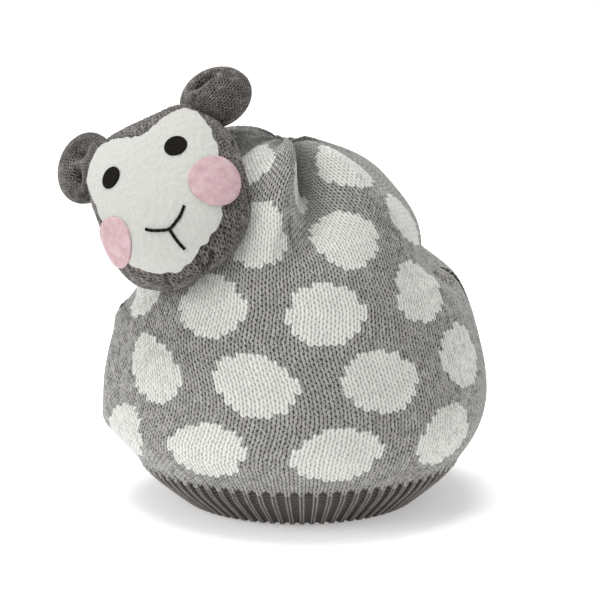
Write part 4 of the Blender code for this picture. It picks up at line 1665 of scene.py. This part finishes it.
class COSY_OT_ears(bpy.types.Operator):
    """Stuff the two ears and sew them to the head"""

    bl_idname = "cosy.ears"
    bl_label = "Stuff the ears"

    def execute(self, context):
        sizes, colours = context.scene.cosy_sizes, context.scene.cosy_colours
        knit = EAR_WALES, EAR_COURSES
        finish = head_finish("ear_knit", *knit, colours)
        head = bpy.data.objects["head"]
        for (name, *place, tip, turn), measures in zip(EAR_PLACES, EAR_SIZES):
            matrix = (HEAD_MATRIX @ Matrix.Translation(Vector(place))
                      @ Euler((math.radians(tip), 0.0, math.radians(turn))).to_matrix().to_4x4())
            ear = make_ball("stuffed_" + name, lambda way: ear_shape(way, measures), matrix, head,
                            EAR_GAP, knit, finish, sizes.head_relief / MM)
            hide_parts(name)
        return {"FINISHED"}


class COSY_OT_face(bpy.types.Operator):
    """Cut the fleece face and sew it on"""

    bl_idname = "cosy.face"
    bl_label = "Sew on the face"

    def execute(self, context):
        sizes, colours = context.scene.cosy_sizes, context.scene.cosy_colours
        face = patch("fleece_face", face_outline(), FACE_RINGS, FACE_GAP, FACE_THICK,
                     FACE_ROUNDING, fleece_finish(colours))
        ruffle(face, sizes.fleece_pile, *FLEECE_RUFFLE)
        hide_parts("face")
        return {"FINISHED"}


class COSY_OT_cheeks(bpy.types.Operator):
    """Cut the two felt cheeks and sew them on"""

    bl_idname = "cosy.cheeks"
    bl_label = "Sew on the cheeks"

    def execute(self, context):
        finish = felt_finish(context.scene.cosy_colours)
        for name, across, up, radius in CHEEKS:
            outline = disc_outline(across, up, radius, CHEEK_CORNERS)
            cheek = patch("felt_" + name, outline, CHEEK_RINGS, FACE_TOP - CHEEK_SUNK,
                          CHEEK_THICK, CHEEK_ROUNDING, finish)
            ruffle(cheek, FELT_NAP, *FELT_RUFFLE)
            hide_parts(name)
        return {"FINISHED"}


class COSY_OT_eyes(bpy.types.Operator):
    """Stitch the two round eyes"""

    bl_idname = "cosy.eyes"
    bl_label = "Stitch the eyes"

    def execute(self, context):
        finish = thread_finish("satin_stitch", context.scene.cosy_colours, STITCH_SPACING)
        for name, across, up, radius in EYES:
            outline = disc_outline(across, up, radius, EYE_CORNERS)
            eye = patch("stitched_" + name, outline, EYE_RINGS, FACE_TOP - EYE_SUNK, EYE_THICK,
                        EYE_ROUNDING, finish)
            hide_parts(name)
        return {"FINISHED"}


class COSY_OT_mouth(bpy.types.Operator):
    """Stitch the mouth in thick thread"""

    bl_idname = "cosy.mouth"
    bl_label = "Stitch the mouth"

    def execute(self, context):
        smile, stem = stitched_line(MOUTH_SMILE), stitched_line(MOUTH_STEM)
        only(smile)
        stem.select_set(True)
        bpy.ops.object.join()
        mouth = context.object
        mouth.name = "stitched_mouth"
        mouth.data.name = "stitched_mouth"
        mouth.data.materials.clear()
        mouth.data.materials.append(thread_finish("mouth_thread", context.scene.cosy_colours))
        bpy.ops.object.mode_set(mode="EDIT")
        bpy.ops.mesh.select_all(action="SELECT")
        bpy.ops.mesh.remove_doubles(threshold=0.00001)
        bpy.ops.mesh.normals_make_consistent(inside=False)
        bpy.ops.object.mode_set(mode="OBJECT")
        bpy.ops.object.shade_smooth()
        bpy.ops.object.transform_apply(location=True, rotation=True, scale=True)
        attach(mouth, "root")
        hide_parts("mouth")
        return {"FINISHED"}


class COSY_OT_stage(bpy.types.Operator):
    """Lay the floor, and set up the camera and the lights"""

    bl_idname = "cosy.stage"
    bl_label = "Set the stage"

    def execute(self, context):
        settings = context.scene.cosy_stage
        bpy.ops.object.select_all(action="DESELECT")
        bpy.ops.mesh.primitive_plane_add(size=FLOOR_SIZE, location=(0.0, 0.0, 0.0))
        floor = context.object
        floor.name = "floor"
        finish = Finish("pale_floor")
        grain = finish.noise("grain")
        shade = finish.brightened(tuple(settings.floor), grain.round_one(FLOOR_GRAIN))
        finish.shader.inputs["Emission Color"].default_value = (1.0, 1.0, 1.0, 1.0)
        finish.shader.inputs["Emission Strength"].default_value = FLOOR_GLOW
        floor.data.materials.append(finish.dress(shade, grain))

        back = math.sqrt(settings.distance ** 2 - (settings.height - LOOKED_AT.z) ** 2)
        eye = Vector((LOOKED_AT.x, LOOKED_AT.y - back, settings.height))
        bpy.ops.object.camera_add(location=eye, rotation=facing(eye, LOOKED_AT))
        camera = context.object
        camera.name = "camera"
        camera.data.lens = settings.lens
        camera.data.sensor_width = FILM
        camera.data.clip_end = VIEW_END
        context.scene.camera = camera

        for name, place, size, power in LIGHTS:
            bpy.ops.object.light_add(type="AREA", location=place, rotation=facing(place, LIT))
            lamp = context.object
            lamp.name = name
            lamp.data.size = size
            lamp.data.energy = power

        world = bpy.data.worlds.new("pale_studio")
        world.use_nodes = True
        background = world.node_tree.nodes["Background"]
        background.inputs["Color"].default_value = (1.0, 1.0, 1.0, 1.0)
        background.inputs["Strength"].default_value = STUDIO_LIGHT
        context.scene.world = world
        context.scene.view_settings.view_transform = "Standard"
        return {"FINISHED"}


class COSY_PT_sidebar(bpy.types.Panel):
    """The cosy's pieces and settings"""

    bl_label = "Tea cosy"
    bl_space_type = "VIEW_3D"
    bl_region_type = "UI"
    bl_category = "Tea cosy"

    def draw(self, context):
        layout = self.layout
        for name, group in SETTINGS:
            box = layout.box()
            for key in group.__annotations__:
                box.prop(getattr(context.scene, name), key)
        for operator in OPERATORS:
            layout.operator(operator.bl_idname)


OPERATORS = (COSY_OT_stage, COSY_OT_panels, COSY_OT_welt, COSY_OT_head, COSY_OT_ears,
             COSY_OT_face, COSY_OT_cheeks, COSY_OT_eyes, COSY_OT_mouth)
SETTINGS = (("cosy_sizes", CosySizes), ("cosy_colours", CosyColours), ("cosy_stage", StageSettings))


def register():
    for name, group in SETTINGS:
        bpy.utils.register_class(group)
        setattr(bpy.types.Scene, name, bpy.props.PointerProperty(type=group))
    for operator in OPERATORS:
        bpy.utils.register_class(operator)
    bpy.utils.register_class(COSY_PT_sidebar)


def unregister():
    bpy.utils.unregister_class(COSY_PT_sidebar)
    for operator in reversed(OPERATORS):
        bpy.utils.unregister_class(operator)
    for name, group in reversed(SETTINGS):
        delattr(bpy.types.Scene, name)
        bpy.utils.unregister_class(group)


def main():
    register()
    bpy.ops.cosy.stage()
    bpy.ops.cosy.panels()
    bpy.ops.cosy.welt()
    bpy.ops.cosy.head()
    bpy.ops.cosy.ears()
    bpy.ops.cosy.face()
    bpy.ops.cosy.cheeks()
    bpy.ops.cosy.eyes()
    bpy.ops.cosy.mouth()


if __name__ == "__main__":
    main()
